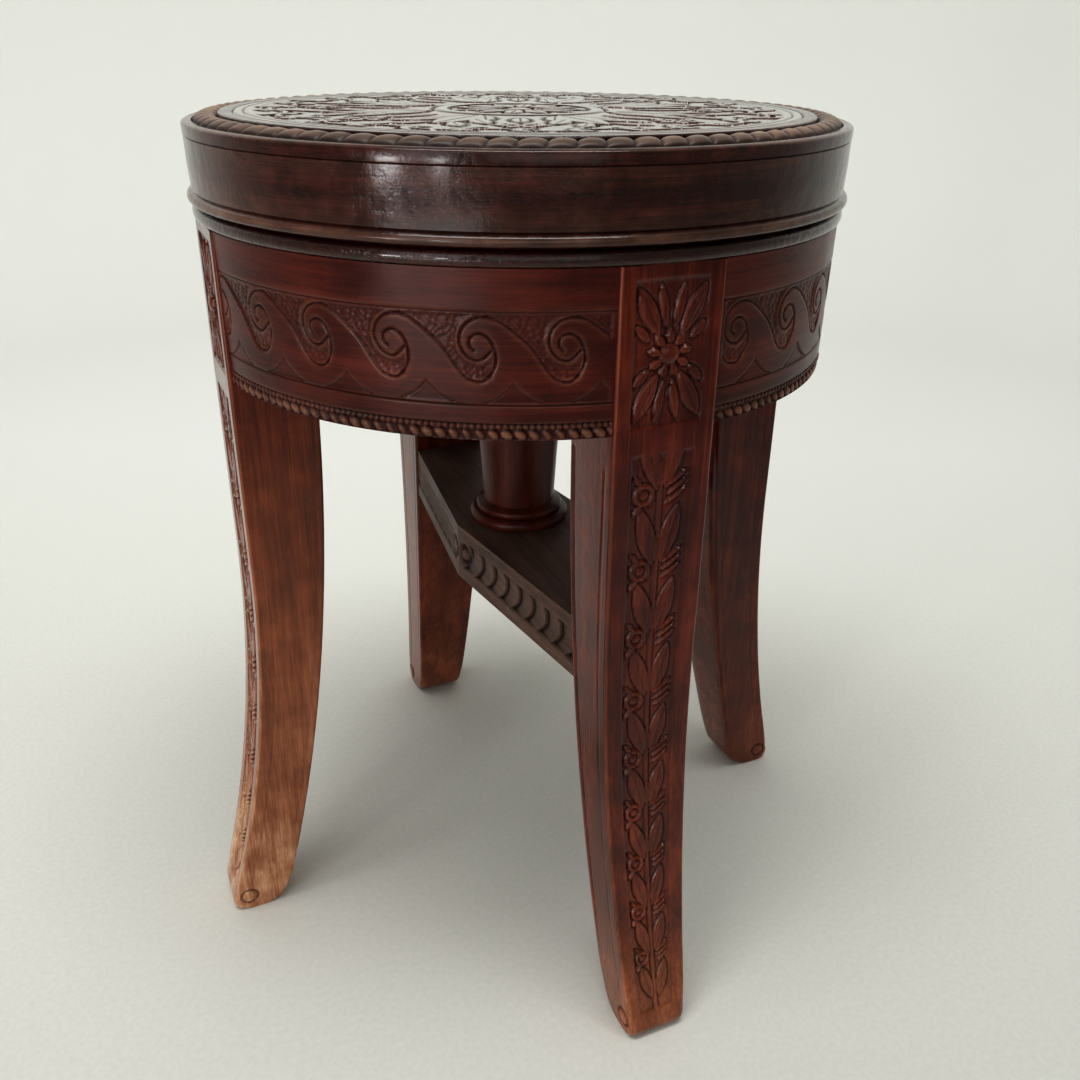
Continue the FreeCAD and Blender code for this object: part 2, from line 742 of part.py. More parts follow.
def make_stretcher():
    body = new_body("stretcher")
    plan = new_sketch(body, "XY_Plane", S.stretcher_bottom)
    end = leg_inner_face(S.stretcher_bottom, ZERO)
    middle_half = S.stretcher_middle_width / 2
    end_half = S.stretcher_end_width / 2
    outline(plan, [(middle_half, ZERO), (end_half, end), (-end_half, end),
                   (-middle_half, ZERO), (-end_half, -end), (end_half, -end)])
    plate = extruded(body, "Pad", plan, S.stretcher_thickness, both_ways=False)
    near_middle = S.stretcher_corner_round.value
    blunt = rounded(body, plate, S.stretcher_corner_round,
                    lambda edge: edge.BoundBox.YLength < near_middle
                    and abs(edge.CenterOfMass.y) < near_middle
                    and edge.BoundBox.XLength < near_middle)
    body.Tip = blunt
    side_view = new_sketch(body, "YZ_Plane")
    low = S.stretcher_bottom - BEYOND
    high = stretcher_top + BEYOND
    far = end + BEYOND
    face = inner_sweep + S.joint_gap
    low_face = leg_inner_face(low, S.joint_gap)
    high_face = leg_inner_face(high, S.joint_gap)
    outline(side_view, [(far, low), (far, high), (high_face, high), (low_face, low, face, "left")])
    outline(side_view, [(-far, low), (-far, high), (-high_face, high), (-low_face, low, face, "right")])
    extruded(body, "Pocket", side_view, None, both_ways=True)
    tenon = new_sketch(body, "XZ_Plane")
    half_width = S.tenon_width / 2
    half_height = S.tenon_thickness / 2
    rectangle(tenon, -half_width, stretcher_middle - half_height,
              half_width, stretcher_middle + half_height)
    reach = leg_inner_face(stretcher_middle, S.joint_gap) + S.tenon_length
    extruded(body, "Pad", tenon, reach * 2, both_ways=True)
    socket = new_sketch(body, "XY_Plane")
    ring(socket, ZERO, ZERO, S.column_tenon_radius + S.joint_gap)
    extruded(body, "Pocket", socket, None, both_ways=True)


def make_spindle():
    body = new_body("screw_spindle")
    section = new_sketch(body, "XZ_Plane")
    outline(section, [
        (ZERO, spindle_bottom),
        (S.spindle_radius - S.spindle_chamfer, spindle_bottom),
        (S.spindle_radius, spindle_bottom + S.spindle_chamfer),
        (S.spindle_radius, collar_bottom),
        (S.collar_radius, collar_bottom),
        (S.collar_radius, collar_top),
        (S.spindle_radius, collar_top),
        (S.spindle_radius, flange_bottom),
        (S.rivet_radius, flange_bottom),
        (S.rivet_radius, bearer_bottom),
        (ZERO, bearer_bottom),
    ])
    turned(body, section)


def make_washer():
    body = new_body("thrust_washer")
    section = new_sketch(body, "XZ_Plane")
    rectangle(section, S.spindle_radius + S.washer_play, collar_top, S.washer_radius, washer_top)
    turned(body, section)


def make_flange():
    body = new_body("seat_flange")
    section = new_sketch(body, "XZ_Plane")
    rectangle(section, S.rivet_radius + S.joint_gap, flange_bottom, S.flange_radius, bearer_bottom)
    turned(body, section)
    around(body, screw(body, "Groove", S.flange_screw_circle, flange_bottom,
                       flange_bottom + S.flange_screw_length, S.screw_gap), RING_SCREW_COUNT)


def make_bearer():
    body = new_body("seat_bearer")
    plan = new_sketch(body, "XY_Plane", bearer_bottom)
    half = S.bearer_width / 2
    seat = hoop_bore - S.bearer_gap
    end = across(seat, half)
    outline(plan, [(end, -half), (end, half, seat, "left"), (-end, half), (-end, -half, seat, "left")])
    extruded(body, "Pad", plan, S.bearer_thickness, both_ways=False)
    around(body, screw(body, "Groove", S.flange_screw_circle, flange_bottom,
                       flange_bottom + S.flange_screw_length, S.screw_gap), RING_SCREW_COUNT)
    around(body, screw(body, "Groove", S.bearer_screw_spread, bearer_bottom,
                       bearer_bottom + S.bearer_screw_length, S.screw_gap), BEARER_SCREW_COUNT)


def make_panel():
    body = new_body("seat_panel")
    section = new_sketch(body, "XZ_Plane")
    rectangle(section, ZERO, panel_bottom, panel_radius, panel_top)
    turned(body, section)
    around(body, screw(body, "Groove", S.bearer_screw_spread, bearer_bottom,
                       bearer_bottom + S.bearer_screw_length, S.screw_gap), BEARER_SCREW_COUNT)
    field = new_sketch(body, "XY_Plane", panel_top)
    ring(field, ZERO, ZERO, panel_radius - S.panel_border)
    extruded(body, "Pocket", field, S.panel_relief, both_ways=False)
    ground = panel_top - S.panel_relief
    rosette = new_sketch(body, "XY_Plane", ground)
    ring(rosette, ZERO, ZERO, S.rosette_ring)
    ring(rosette, ZERO, ZERO, S.rosette_ring - S.rosette_ring_width)
    ring(rosette, ZERO, ZERO, S.rosette_boss)
    raised(body, rosette, S.panel_relief)
    petal = new_sketch(body, "XY_Plane", ground)
    leaf(petal, (ZERO, S.petal_foot), (ZERO, S.petal_foot + S.petal_length), S.petal_width)
    around(body, raised(body, petal, S.panel_relief), PETAL_COUNT)
    middle_leaf = new_sketch(body, "XY_Plane", ground)
    leaf(middle_leaf, (ZERO, S.spray_foot), (ZERO, S.spray_foot + S.spray_length), S.spray_width)
    around(body, raised(body, middle_leaf, S.panel_relief), SPRAY_COUNT)
    for foot, foot_up, tip, tip_up in SIDE_LEAVES:
        pair = new_sketch(body, "XY_Plane", ground)
        for hand in (-1, 1):
            leaf(pair, (S.spray_length * (foot * hand), S.spray_foot + S.spray_length * foot_up),
                 (S.spray_length * (tip * hand), S.spray_foot + S.spray_length * tip_up),
                 S.side_leaf_width)
        around(body, raised(body, pair, S.panel_relief), SPRAY_COUNT)
    blossom = new_sketch(body, "XY_Plane", ground)
    between = math.pi / SPRAY_COUNT
    ring(blossom, S.blossom_circle * math.cos(between), S.blossom_circle * math.sin(between),
         S.blossom_radius)
    around(body, raised(body, blossom, S.panel_relief), SPRAY_COUNT)


def make_hoop():
    body = new_body("seat_hoop")
    section = new_sketch(body, "XZ_Plane")
    bead_top = hoop_bottom + S.bead_height
    nosing_top = panel_top - S.nosing_drop
    nosing_bottom = nosing_top - S.nosing_height
    rope_foot = panel_top - S.rope_drop
    rope_chord = root(S.rope_width * S.rope_width + S.rope_drop * S.rope_drop)
    outline(section, [
        (hoop_bore, hoop_bottom),
        (hoop_radius, hoop_bottom),
        (hoop_radius, bead_top, bow(S.bead_height, S.bead_bulge), "left"),
        (hoop_radius, nosing_bottom),
        (hoop_radius, nosing_top, bow(S.nosing_height, S.nosing_bulge), "left"),
        (rope_outer_radius, rope_foot),
        (rope_inner_radius, panel_top, bow(rope_chord, S.rope_rise), "left"),
        (rebate_radius, panel_top),
        (rebate_radius, panel_bottom),
        (hoop_bore, panel_bottom),
    ])
    turned(body, section)


for leg_side, leg_turn in LEGS.items():
    make_leg(leg_side, leg_turn)
    make_glue_block(leg_side, leg_turn, "left", 1)
    make_glue_block(leg_side, leg_turn, "right", -1)
for panel_side, panel_turn in PANELS.items():
    make_apron(panel_side, panel_turn)
make_dowels()
make_drum_top()
make_nut()
make_column()
make_wedge()
make_stretcher()
make_spindle()
make_washer()
make_flange()
make_bearer()
make_panel()
make_hoop()
screw_set("drum_top_screws", top_screw_circle, drum_top_height, top_screw_tip, len(LEGS))
screw_set("nut_screws", S.nut_screw_circle, nut_top, nut_screw_tip, RING_SCREW_COUNT)
screw_set("flange_screws", S.flange_screw_circle, flange_bottom, flange_bottom + S.flange_screw_length,
          RING_SCREW_COUNT)
screw_set("bearer_screws", S.bearer_screw_spread, bearer_bottom, bearer_bottom + S.bearer_screw_length,
          BEARER_SCREW_COUNT)
doc.recompute()

failed = [thing.Label for thing in doc.Objects if {"Invalid", "Error"} & set(thing.State)]
if failed:
    raise RuntimeError(f"these features failed: {failed}")
pieces = [thing for thing in doc.Objects if thing.TypeId == "PartDesign::Body"]
for piece in pieces:
    if piece.Shape.isNull() or not piece.Shape.isValid():
        raise RuntimeError(f"{piece.Label} has no valid shape")

os.makedirs("parts", exist_ok=True)
for piece in pieces:
    piece.Shape.exportStep(f"parts/{piece.Label}.step")
    print(f"{piece.Label}: {len(piece.Shape.Solids)} solid(s), {piece.Shape.Volume / 1000:.2f} cm3")
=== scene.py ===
# %% [markdown]
# # A carved, revolving piano stool
# The stool is a round seat on an iron screw, over a drum made of four sabre legs and four curved
# apron panels. The frame brings every piece at its real size. This lesson carves what the wood
# carver cut, gives each surface its finish, and lights the stool on a plain pale floor.

# %% Load the frame
import math
from functools import partial

import bmesh
import bpy
import numpy as np
from mathutils import Matrix, Vector


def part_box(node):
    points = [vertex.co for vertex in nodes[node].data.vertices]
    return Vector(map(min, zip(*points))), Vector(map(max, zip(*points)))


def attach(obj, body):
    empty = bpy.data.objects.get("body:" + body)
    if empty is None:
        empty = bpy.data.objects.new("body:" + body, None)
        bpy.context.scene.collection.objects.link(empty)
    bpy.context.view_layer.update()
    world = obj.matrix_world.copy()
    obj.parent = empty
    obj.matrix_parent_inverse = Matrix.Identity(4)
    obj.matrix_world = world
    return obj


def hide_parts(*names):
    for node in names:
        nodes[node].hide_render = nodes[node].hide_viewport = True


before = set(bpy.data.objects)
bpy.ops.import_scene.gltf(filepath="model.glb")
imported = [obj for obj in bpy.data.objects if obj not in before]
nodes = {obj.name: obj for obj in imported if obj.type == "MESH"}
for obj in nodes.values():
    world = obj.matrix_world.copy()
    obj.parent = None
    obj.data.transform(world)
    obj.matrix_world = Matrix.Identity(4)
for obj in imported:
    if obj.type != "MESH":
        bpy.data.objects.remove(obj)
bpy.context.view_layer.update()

# %% [markdown]
# ## Sizes
# Wood carvers think in millimetres, so every size below is in millimetres and is turned to metres
# only when a mesh is written. Sizes could be typed into each call, but a name says what a number is
# for, and lets it be changed in one place. The frame gives each node's box, and a few sizes that a box
# doesn't show, such as the radius of a face, are named here.

# %% Sizes from the frame, and a few that its boxes don't show
MM = 0.001


def box_mm(node):
    """Lowest and highest corner of a node at rest, in millimetres."""
    low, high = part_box(node)
    return np.array(low) / MM, np.array(high) / MM


leg_low, leg_high = box_mm("leg_right")
LEG_TOP = leg_high[2]
LEG_INNER = leg_low[0]
LEG_HALF = leg_high[1]
LEG_OUTER = 176.5
FOOT_HALF = 18.0
TAPER_TOP = 320.0
OUTER_BEND = 250.0
INNER_BEND = 360.0
TOE_KICK = 38.0
HEEL_KICK = 48.0
TOE_ROUND = 9.0
HEEL_ROUND = 12.0
LEG_TURNS = {"right": 0.0, "back": 90.0, "left": 180.0, "front": 270.0}
print(f"legs {LEG_TOP:.1f} mm high, {2 * LEG_HALF:.1f} mm wide at the drum")

# %% [markdown]
# ## Colours and nodes
# Colours are picked as sRGB hex values, but a shader works in linear light, so one function turns
# them. Materials could be joined by hand in the shader editor, but a script can be read and run again.
# So another function adds any shader node, with the help of one that fills its inputs: an input is
# either a value or the socket that feeds it.

# %% Colour and node helpers
def linear(code):
    """Linear RGBA of an sRGB hex colour such as #5a2a20."""
    parts = [int(code[place:place + 2], 16) / 255 for place in (1, 3, 5)]
    curve = [part / 12.92 if part <= 0.04045 else ((part + 0.055) / 1.055) ** 2.4 for part in parts]
    return (*curve, 1.0)


def fill(tree, node, inputs):
    """Give each named input of a node its value, or join it to another node's socket."""
    for socket, value in dict(inputs).items():
        if isinstance(value, bpy.types.NodeSocket):
            tree.links.new(value, node.inputs[socket])
        else:
            node.inputs[socket].default_value = value


def add_node(tree, kind, inputs=(), **settings):
    """Add a node with its inputs. Settings are the node's own properties."""
    node = tree.nodes.new(kind)
    for word, value in settings.items():
        setattr(node, word, value)
    fill(tree, node, inputs)
    return node


def new_material(name):
    """An empty node material with its shader and output already joined."""
    material = bpy.data.materials.new(name)
    material.use_nodes = True
    tree = material.node_tree
    tree.nodes.clear()
    shader = add_node(tree, "ShaderNodeBsdfPrincipled")
    add_node(tree, "ShaderNodeOutputMaterial", {"Surface": shader.outputs["BSDF"]})
    return material, tree, shader


print("dark stain in linear light:", [round(part, 3) for part in linear("#4a1d12")])

# %% [markdown]
# ## Old polished hardwood
# The stool is a dense tropical hardwood, stained red-brown and French polished, with a century of
# handling on it. To the eye that gives fine streaks along the grain, broader bands of light and
# dark, dirt and old polish left in every cut, and pale wood where edges and feet are rubbed.
# A picture of a board could be wrapped round each piece, but it would stretch over the carving and
# show seams. So the grain is noise, drawn out along one axis, which runs through a piece as through a
# block. Two values stored on the carved meshes, "cavity" and "wear", say where dirt gathers and where
# the polish is gone. On the legs and the hoop, "wear" also holds painted light, which pales the leg
# facing the window and the hoop's bead.

# %% A finish for stained and polished hardwood
# Length and width in mm, then the noise's detail, roughness and distortion. Real pores are about
# 0.2 mm wide, too fine to show at this distance, so the streaks are wider
STREAKS = (40.0, 1.3, 5.0, 0.62, 0.2)
BANDS = (260.0, 11.0, 3.0, 0.5, 0.6)
PATCH_SIZE = 42.0
PATCH_SHARE = 0.32
SHADE_STOPS = (0.40, 0.5, 0.62)
BLEACHED = "#d6b491"
BLEACHING = 3.0
DIRT_ROUGHNESS = 0.75
PORE_DEPTH = 0.10
WAVE_DEPTH = 0.9


def stretched(grain, length, width):
    """Mapping scale, per metre, for a pattern that is long on the grain axes and narrow on the others."""
    return tuple(1 / (MM * (length if axis in grain else width)) for axis in "XYZ")


# Rubbed wood pales where the stored wear is high; on the legs and the hoop that wear is partly painted light
def polished_wood(name, grain, shades, dirt, worn, gloss, shine, coat, patch=PATCH_SIZE, wave=WAVE_DEPTH):
    """Stained hardwood. grain names the axes that the streaks follow, gloss the range of roughness."""
    material, tree, shader = new_material(name)
    place = add_node(tree, "ShaderNodeTexCoord").outputs["Object"]
    figures = []
    for length, width, detail, roughness, distortion in (STREAKS, BANDS):
        scale = stretched(grain, length, width)
        drawn = add_node(tree, "ShaderNodeMapping", {"Vector": place, "Scale": scale})
        figures.append(add_node(tree, "ShaderNodeTexNoise", {
            "Vector": drawn.outputs["Vector"], "Scale": 1.0, "Detail": detail, "Roughness": roughness,
            "Distortion": distortion}).outputs["Fac"])
    patches = add_node(tree, "ShaderNodeTexNoise", {"Vector": place, "Scale": 1 / (MM * patch),
                                                    "Detail": 4.0, "Roughness": 0.6})
    figure = add_node(tree, "ShaderNodeMix", {"Factor": 0.5, "A": figures[0], "B": figures[1]},
                      data_type="FLOAT")
    tone = add_node(tree, "ShaderNodeMix", {"Factor": PATCH_SHARE, "A": figure.outputs["Result"],
                                            "B": patches.outputs["Fac"]}, data_type="FLOAT")
    ramp = add_node(tree, "ShaderNodeValToRGB", {"Fac": tone.outputs["Result"]})
    stops = ramp.color_ramp.elements
    stops.new(SHADE_STOPS[1])
    for stop, position, shade in zip(stops, SHADE_STOPS, shades):
        stop.position = position
        stop.color = linear(shade)
    rubbed_and_lit = add_node(tree, "ShaderNodeAttribute", attribute_name="wear")
    broken = add_node(tree, "ShaderNodeMapRange", {"Value": tone.outputs["Result"], "From Min": 0.38,
                                                   "From Max": 0.60, "To Min": 0.45, "To Max": 1.0})
    bare = add_node(tree, "ShaderNodeMath", {0: rubbed_and_lit.outputs["Fac"], 1: broken.outputs["Result"]},
                    operation="MULTIPLY")
    barest = add_node(tree, "ShaderNodeMath", {0: bare.outputs["Value"], 1: BLEACHING}, operation="POWER")
    worn_and_lit_wood = add_node(tree, "ShaderNodeMix", {"Factor": barest.outputs["Value"], "A": linear(worn),
                                                   "B": linear(BLEACHED)}, data_type="RGBA")
    lit = add_node(tree, "ShaderNodeMix", {"Factor": bare.outputs["Value"], "A": ramp.outputs["Color"],
                                           "B": worn_and_lit_wood.outputs["Result"]}, data_type="RGBA")
    cuts = add_node(tree, "ShaderNodeAttribute", attribute_name="cavity")
    dirty = add_node(tree, "ShaderNodeMix", {"Factor": cuts.outputs["Fac"], "A": lit.outputs["Result"],
                                             "B": linear(dirt)}, data_type="RGBA")
    dull = add_node(tree, "ShaderNodeMapRange", {"Value": patches.outputs["Fac"], "From Min": 0.3,
                                                 "From Max": 0.7, "To Min": gloss[0], "To Max": gloss[1]})
    matt = add_node(tree, "ShaderNodeMix", {"Factor": cuts.outputs["Fac"], "A": dull.outputs["Result"],
                                            "B": DIRT_ROUGHNESS}, data_type="FLOAT")
    film = add_node(tree, "ShaderNodeMapRange", {"Value": cuts.outputs["Fac"], "To Min": coat,
                                                 "To Max": 0.0})
    pores = add_node(tree, "ShaderNodeBump", {"Height": figures[0], "Strength": 0.5,
                                              "Distance": MM * PORE_DEPTH})
    waves = add_node(tree, "ShaderNodeBump", {"Height": patches.outputs["Fac"], "Strength": 0.5,
                                              "Distance": MM * wave, "Normal": pores.outputs["Normal"]})
    fill(tree, shader, {"Base Color": dirty.outputs["Result"], "Roughness": matt.outputs["Result"],
                        "Coat Weight": film.outputs["Result"], "Normal": waves.outputs["Normal"],
                        "IOR": 1.45, "Specular IOR Level": shine, "Coat Roughness": gloss[0]})
    return material


print("streaks", STREAKS[1], "mm wide and", STREAKS[0], "mm long")

# %% [markdown]
# ## Nine wood finishes
# All that shows was stained and polished, but each part has aged in its own way: hands polished the
# hoop, feet and sunlight paled the legs, and dust dulled the stretcher. Part of the legs' paleness and of
# the hoop's pale bead is painted light, carried by the stored wear. Nine materials could be built by
# hand, but they differ only in a few values, so one function makes them all. The values are the grain's
# axes, three shades of stain, the dirt, the rubbed wood, the range of roughness, the shine and the coat
# of polish. Where a surface is more or less uneven, the size and depth of its patches follow.

# %% Wood finishes
# Satin red-brown with orange wood showing at rubbed edges
leg_wood = polished_wood("hardwood_stained_legs", "Z", ("#350c05", "#52170a", "#763018"),
                         "#220d08", "#bd7448", (0.09, 0.24), 0.38, 0.2, patch=24.0, wave=0.5)
# The same stain on the apron, darker and duller
apron_wood = polished_wood("hardwood_stained_apron", "XY", ("#340c06", "#49140b", "#642618"),
                           "#1f0e0d", "#a8795a", (0.22, 0.38), 0.32, 0.12, wave=0.5)
# Dark, glassy polish that mirrors the window on the hoop
hoop_wood = polished_wood("hardwood_dark_hoop", "XY", ("#240b07", "#37140e", "#4f2119"),
                          "#1c0d0b", "#a07a62", (0.12, 0.26), 0.4, 0.35, patch=8.0, wave=0.8)
# Greyed, handled wood on the tops of the rope's strands
rope_wood = polished_wood("hardwood_worn_rope", "XY", ("#2c1c17", "#43302a", "#5c463d"),
                          "#120a08", "#8d7566", (0.30, 0.45), 0.4, 0.0, wave=0.2)
# Smooth wax on the carved seat, which mirrors the pale room at a low angle
panel_wood = polished_wood("hardwood_waxed_seat", "X", ("#2e1710", "#44251c", "#5a362a"),
                           "#100907", "#7c5a48", (0.06, 0.14), 0.5, 0.6, wave=0.08)
# Near-black brown polish full of small dents that glint
rim_wood = polished_wood("hardwood_ebonised_rim", "XY", ("#1f0b07", "#33130c", "#4a1f15"),
                         "#0b0605", "#5b4034", (0.06, 0.18), 0.45, 0.55, patch=3.6, wave=1.4)
# Dull, dusty wood on the stretcher
stretcher_wood = polished_wood("hardwood_dusty_stretcher", "Y", ("#43302a", "#594238", "#735a4d"),
                               "#1e120e", "#856454", (0.42, 0.62), 0.35, 0.0)
# Deep red turned wood
column_wood = polished_wood("hardwood_turned_column", "Z", ("#330f08", "#4a1a10", "#622a1c"),
                            "#200d09", "#8a5c44", (0.30, 0.44), 0.3, 0.05)
# Pale bare wood inside, where no polish was spent
plain_wood = polished_wood("hardwood_unpolished_inside", "X", ("#4a3524", "#6a4d35", "#86694b"),
                           "#2a1d14", "#a58763", (0.62, 0.80), 0.3, 0.0)
print("nine wood finishes")

# %% [markdown]
# ## Iron, brass, steel and leather
# The lifting screw is forged iron, dark with old grease and touched with rust. The nut is cast
# brass gone dull, the wood screws are plain steel, and the washer is thick saddle leather. Stains could
# be painted on each piece, but noise that runs through the metal gives every piece its own.

# %% Finishes for the ironwork and the washer
RUST_SIZE = 9.0
PIT_DEPTH = 0.3
RUST_ROUGHNESS = 0.35
# The hide's own grain is finer than this, and is drawn coarser so that it shows
HIDE_GRAIN = 1.6


def old_metal(name, clean, stained, roughness, share):
    """A bare metal with stains. share is how much of the surface is stained."""
    material, tree, shader = new_material(name)
    place = add_node(tree, "ShaderNodeTexCoord").outputs["Object"]
    blotch = add_node(tree, "ShaderNodeTexNoise", {"Vector": place, "Scale": 1 / (MM * RUST_SIZE),
                                                   "Detail": 6.0, "Roughness": 0.7})
    stain = add_node(tree, "ShaderNodeMapRange", {"Value": blotch.outputs["Fac"],
                                                  "From Min": 0.62 - 0.3 * share,
                                                  "From Max": 0.72 - 0.2 * share})
    colour = add_node(tree, "ShaderNodeMix", {"Factor": stain.outputs["Result"], "A": linear(clean),
                                              "B": linear(stained)}, data_type="RGBA")
    rough = add_node(tree, "ShaderNodeMapRange", {"Value": stain.outputs["Result"], "To Min": roughness,
                                                  "To Max": roughness + RUST_ROUGHNESS})
    pits = add_node(tree, "ShaderNodeBump", {"Height": blotch.outputs["Fac"], "Strength": 0.4,
                                             "Distance": MM * PIT_DEPTH})
    fill(tree, shader, {"Base Color": colour.outputs["Result"], "Roughness": rough.outputs["Result"],
                        "Normal": pits.outputs["Normal"], "Metallic": 1.0})
    return material


def saddle_leather(name):
    """Vegetable-tanned leather, darkened by grease, with a pebbled grain."""
    material, tree, shader = new_material(name)
    place = add_node(tree, "ShaderNodeTexCoord").outputs["Object"]
    pebbles = add_node(tree, "ShaderNodeTexVoronoi", {"Vector": place, "Scale": 1 / (MM * HIDE_GRAIN)})
    stains = add_node(tree, "ShaderNodeTexNoise", {"Vector": place, "Scale": 1 / (MM * RUST_SIZE),
                                                   "Detail": 4.0})
    colour = add_node(tree, "ShaderNodeMix", {"Factor": stains.outputs["Fac"], "A": linear("#3a2414"),
                                              "B": linear("#7a5230")}, data_type="RGBA")
    grain = add_node(tree, "ShaderNodeBump", {"Height": pebbles.outputs["Distance"], "Strength": 0.5,
                                              "Distance": MM * PIT_DEPTH})
    fill(tree, shader, {"Base Color": colour.outputs["Result"], "Normal": grain.outputs["Normal"],
                        "Roughness": 0.7})
    return material


# Dark grey, with a greasy gleam and brown rust in patches
iron = old_metal("iron_forged_greasy", "#4a4846", "#3a2418", 0.42, 0.6)
# Dull yellow that has gone brown in patches
brass = old_metal("brass_cast_dull", "#8f7340", "#4b3a20", 0.38, 0.5)
# Plain grey with a touch of rust
steel = old_metal("steel_wood_screws", "#77746f", "#4a3524", 0.35, 0.35)
# Brown, matt and pebbled
leather = saddle_leather("leather_saddle_greased")
print("iron, brass, steel and leather")

# %% [markdown]
# ## Carving tools
# A carver works into a flat face, so carving is a height map: for each point of a face, how far the
# surface lies below it. It could be sculpted by hand, but a formula repeats evenly and can be changed.
# Small functions stand for the carver's cuts, all in millimetres. A leaf is a pointed oval with a domed
# top and a vein, a ball is a dome, and a groove follows any line that the distance to it is known for.
# A flowing line runs through a few listed points. Forms can be outlined: a cut runs round each,
# and the ground rises again beyond it. To find where the cut lies, the forms are drawn twice, the
# second time with spare wood left round them.

# %% Height functions for carved ornament
def ramp_between(low, high, value):
    """0 below low and 1 above high, with a smooth ramp between."""
    share = np.clip((value - low) / (high - low), 0.0, 1.0)
    return share * share * (3.0 - 2.0 * share)


VEIN_HALF = 0.55
EDGE_SLOPE = 0.9


def leaf(x, y, foot, tip, width, rise, vein=0.5, spare=0.0, flat=0.72):
    """Height of a pointed oval leaf with a vein and spare wood round it. flat is the part not domed."""
    run = np.subtract(tip, foot)
    length = np.hypot(*run)
    across, along = run / length
    place = (x - foot[0]) * across + (y - foot[1]) * along
    share = np.clip(place / length, 0.0, 1.0)
    aside = (y - foot[1]) * across - (x - foot[0]) * along
    half = width / 2 * np.sin(math.pi * share) ** 0.75
    inside = half + spare - np.hypot(aside, place - share * length)
    dome = flat + (1 - flat) * np.sqrt(np.clip(1 - (aside / np.maximum(half, 0.01)) ** 2, 0, 1))
    cut = vein * np.exp(-(aside / VEIN_HALF) ** 2)
    cut = cut * ramp_between(0.0, 0.12, share) * ramp_between(1.0, 0.86, share)
    return (rise * dome - cut) * ramp_between(0.0, EDGE_SLOPE, inside)


def ball(x, y, centre, radius, rise):
    """Height of a round boss."""
    reach = np.hypot(x - centre[0], y - centre[1]) / radius
    return rise * np.sqrt(np.clip(1 - reach ** 2, 0, 1))


def groove(distance, width, depth):
    """Depth of a rounded cut of a width along a line at this distance."""
    return -depth * ramp_between(width / 2, 0.0, distance)


def flowing(points, spacing=0.5):
    """Closely spaced points on a smooth line through a few chosen ones."""
    points = np.asarray(points, float)
    ends = np.vstack([2 * points[0] - points[1], points, 2 * points[-1] - points[-2]])
    line = []
    for before, start, end, after in zip(ends, ends[1:], ends[2:], ends[3:]):
        count = max(2, int(np.hypot(*(end - start)) / spacing))
        share = np.linspace(0, 1, count, endpoint=False)[:, None]
        line.append(0.5 * (2 * start + (end - before) * share
                           + (2 * before - 5 * start + 4 * end - after) * share ** 2
                           + (3 * start - before - 3 * end + after) * share ** 3))
    return np.vstack(line + [points[-1:]])


def distance_to(x, y, line):
    """Distance from each point to the nearest of a line's points."""
    nearest = np.full(np.shape(x), np.inf)
    for across, up in line:
        nearest = np.minimum(nearest, (x - across) ** 2 + (y - up) ** 2)
    return np.sqrt(nearest)


def outlined(draw, x, y, depth, ground, width):
    """Height of forms that stand in cuts of a depth and a width, with the ground raised between."""
    open_ground = ramp_between(1.0, 0.0, draw(x, y, width))
    return np.maximum(draw(x, y, 0.0) - depth, (depth - ground) * open_ground - depth)


def tool_marks(x, y, size):
    """Gentle uneven hollows that a gouge leaves, from -1 to 1."""
    across = np.sin(x / size * 2.1 + 1.7 * np.sin(y / size * 0.9))
    return across * np.sin(y / size * 1.7 + 1.3 * np.sin(x / size))


sample = leaf(np.array([0.0]), np.array([7.0]), (0, 0), (0, 20), 7, 2)
print(f"a leaf of 20 mm rises to {sample[0]:.2f} mm beside its vein")

# %% [markdown]
# ## From a flat sheet to a carved piece
# Relief could be added to a finished solid with a displace modifier, but that needs a map for every
# face. Here each carved piece starts as a grid from Blender's own operator. A shape function then says
# where every point of the sheet goes: s runs along the columns and t along the rows, both from 0 to 1.
# The seam is welded, open ends are filled, and the two values for dirt and wear are stored. Dirt lies
# where the carving is lower than its surroundings, and wear where it is higher.

# %% Sheet and piece helpers
SURROUNDINGS = 14
WELD = 0.001


def mesh_from(bm, name):
    """A new mesh of what a bmesh holds. The bmesh is freed."""
    mesh = bpy.data.meshes.new(name)
    bm.to_mesh(mesh)
    bm.free()
    return mesh


def softened(height, passes):
    """A height map with its fine detail smoothed away."""
    for _ in range(passes):
        wide = np.pad(height, 1, mode="edge")
        around = wide[:-2, 1:-1] + wide[2:, 1:-1] + wide[1:-1, :-2] + wide[1:-1, 2:]
        height = (around + 4 * height) / 8
    return height


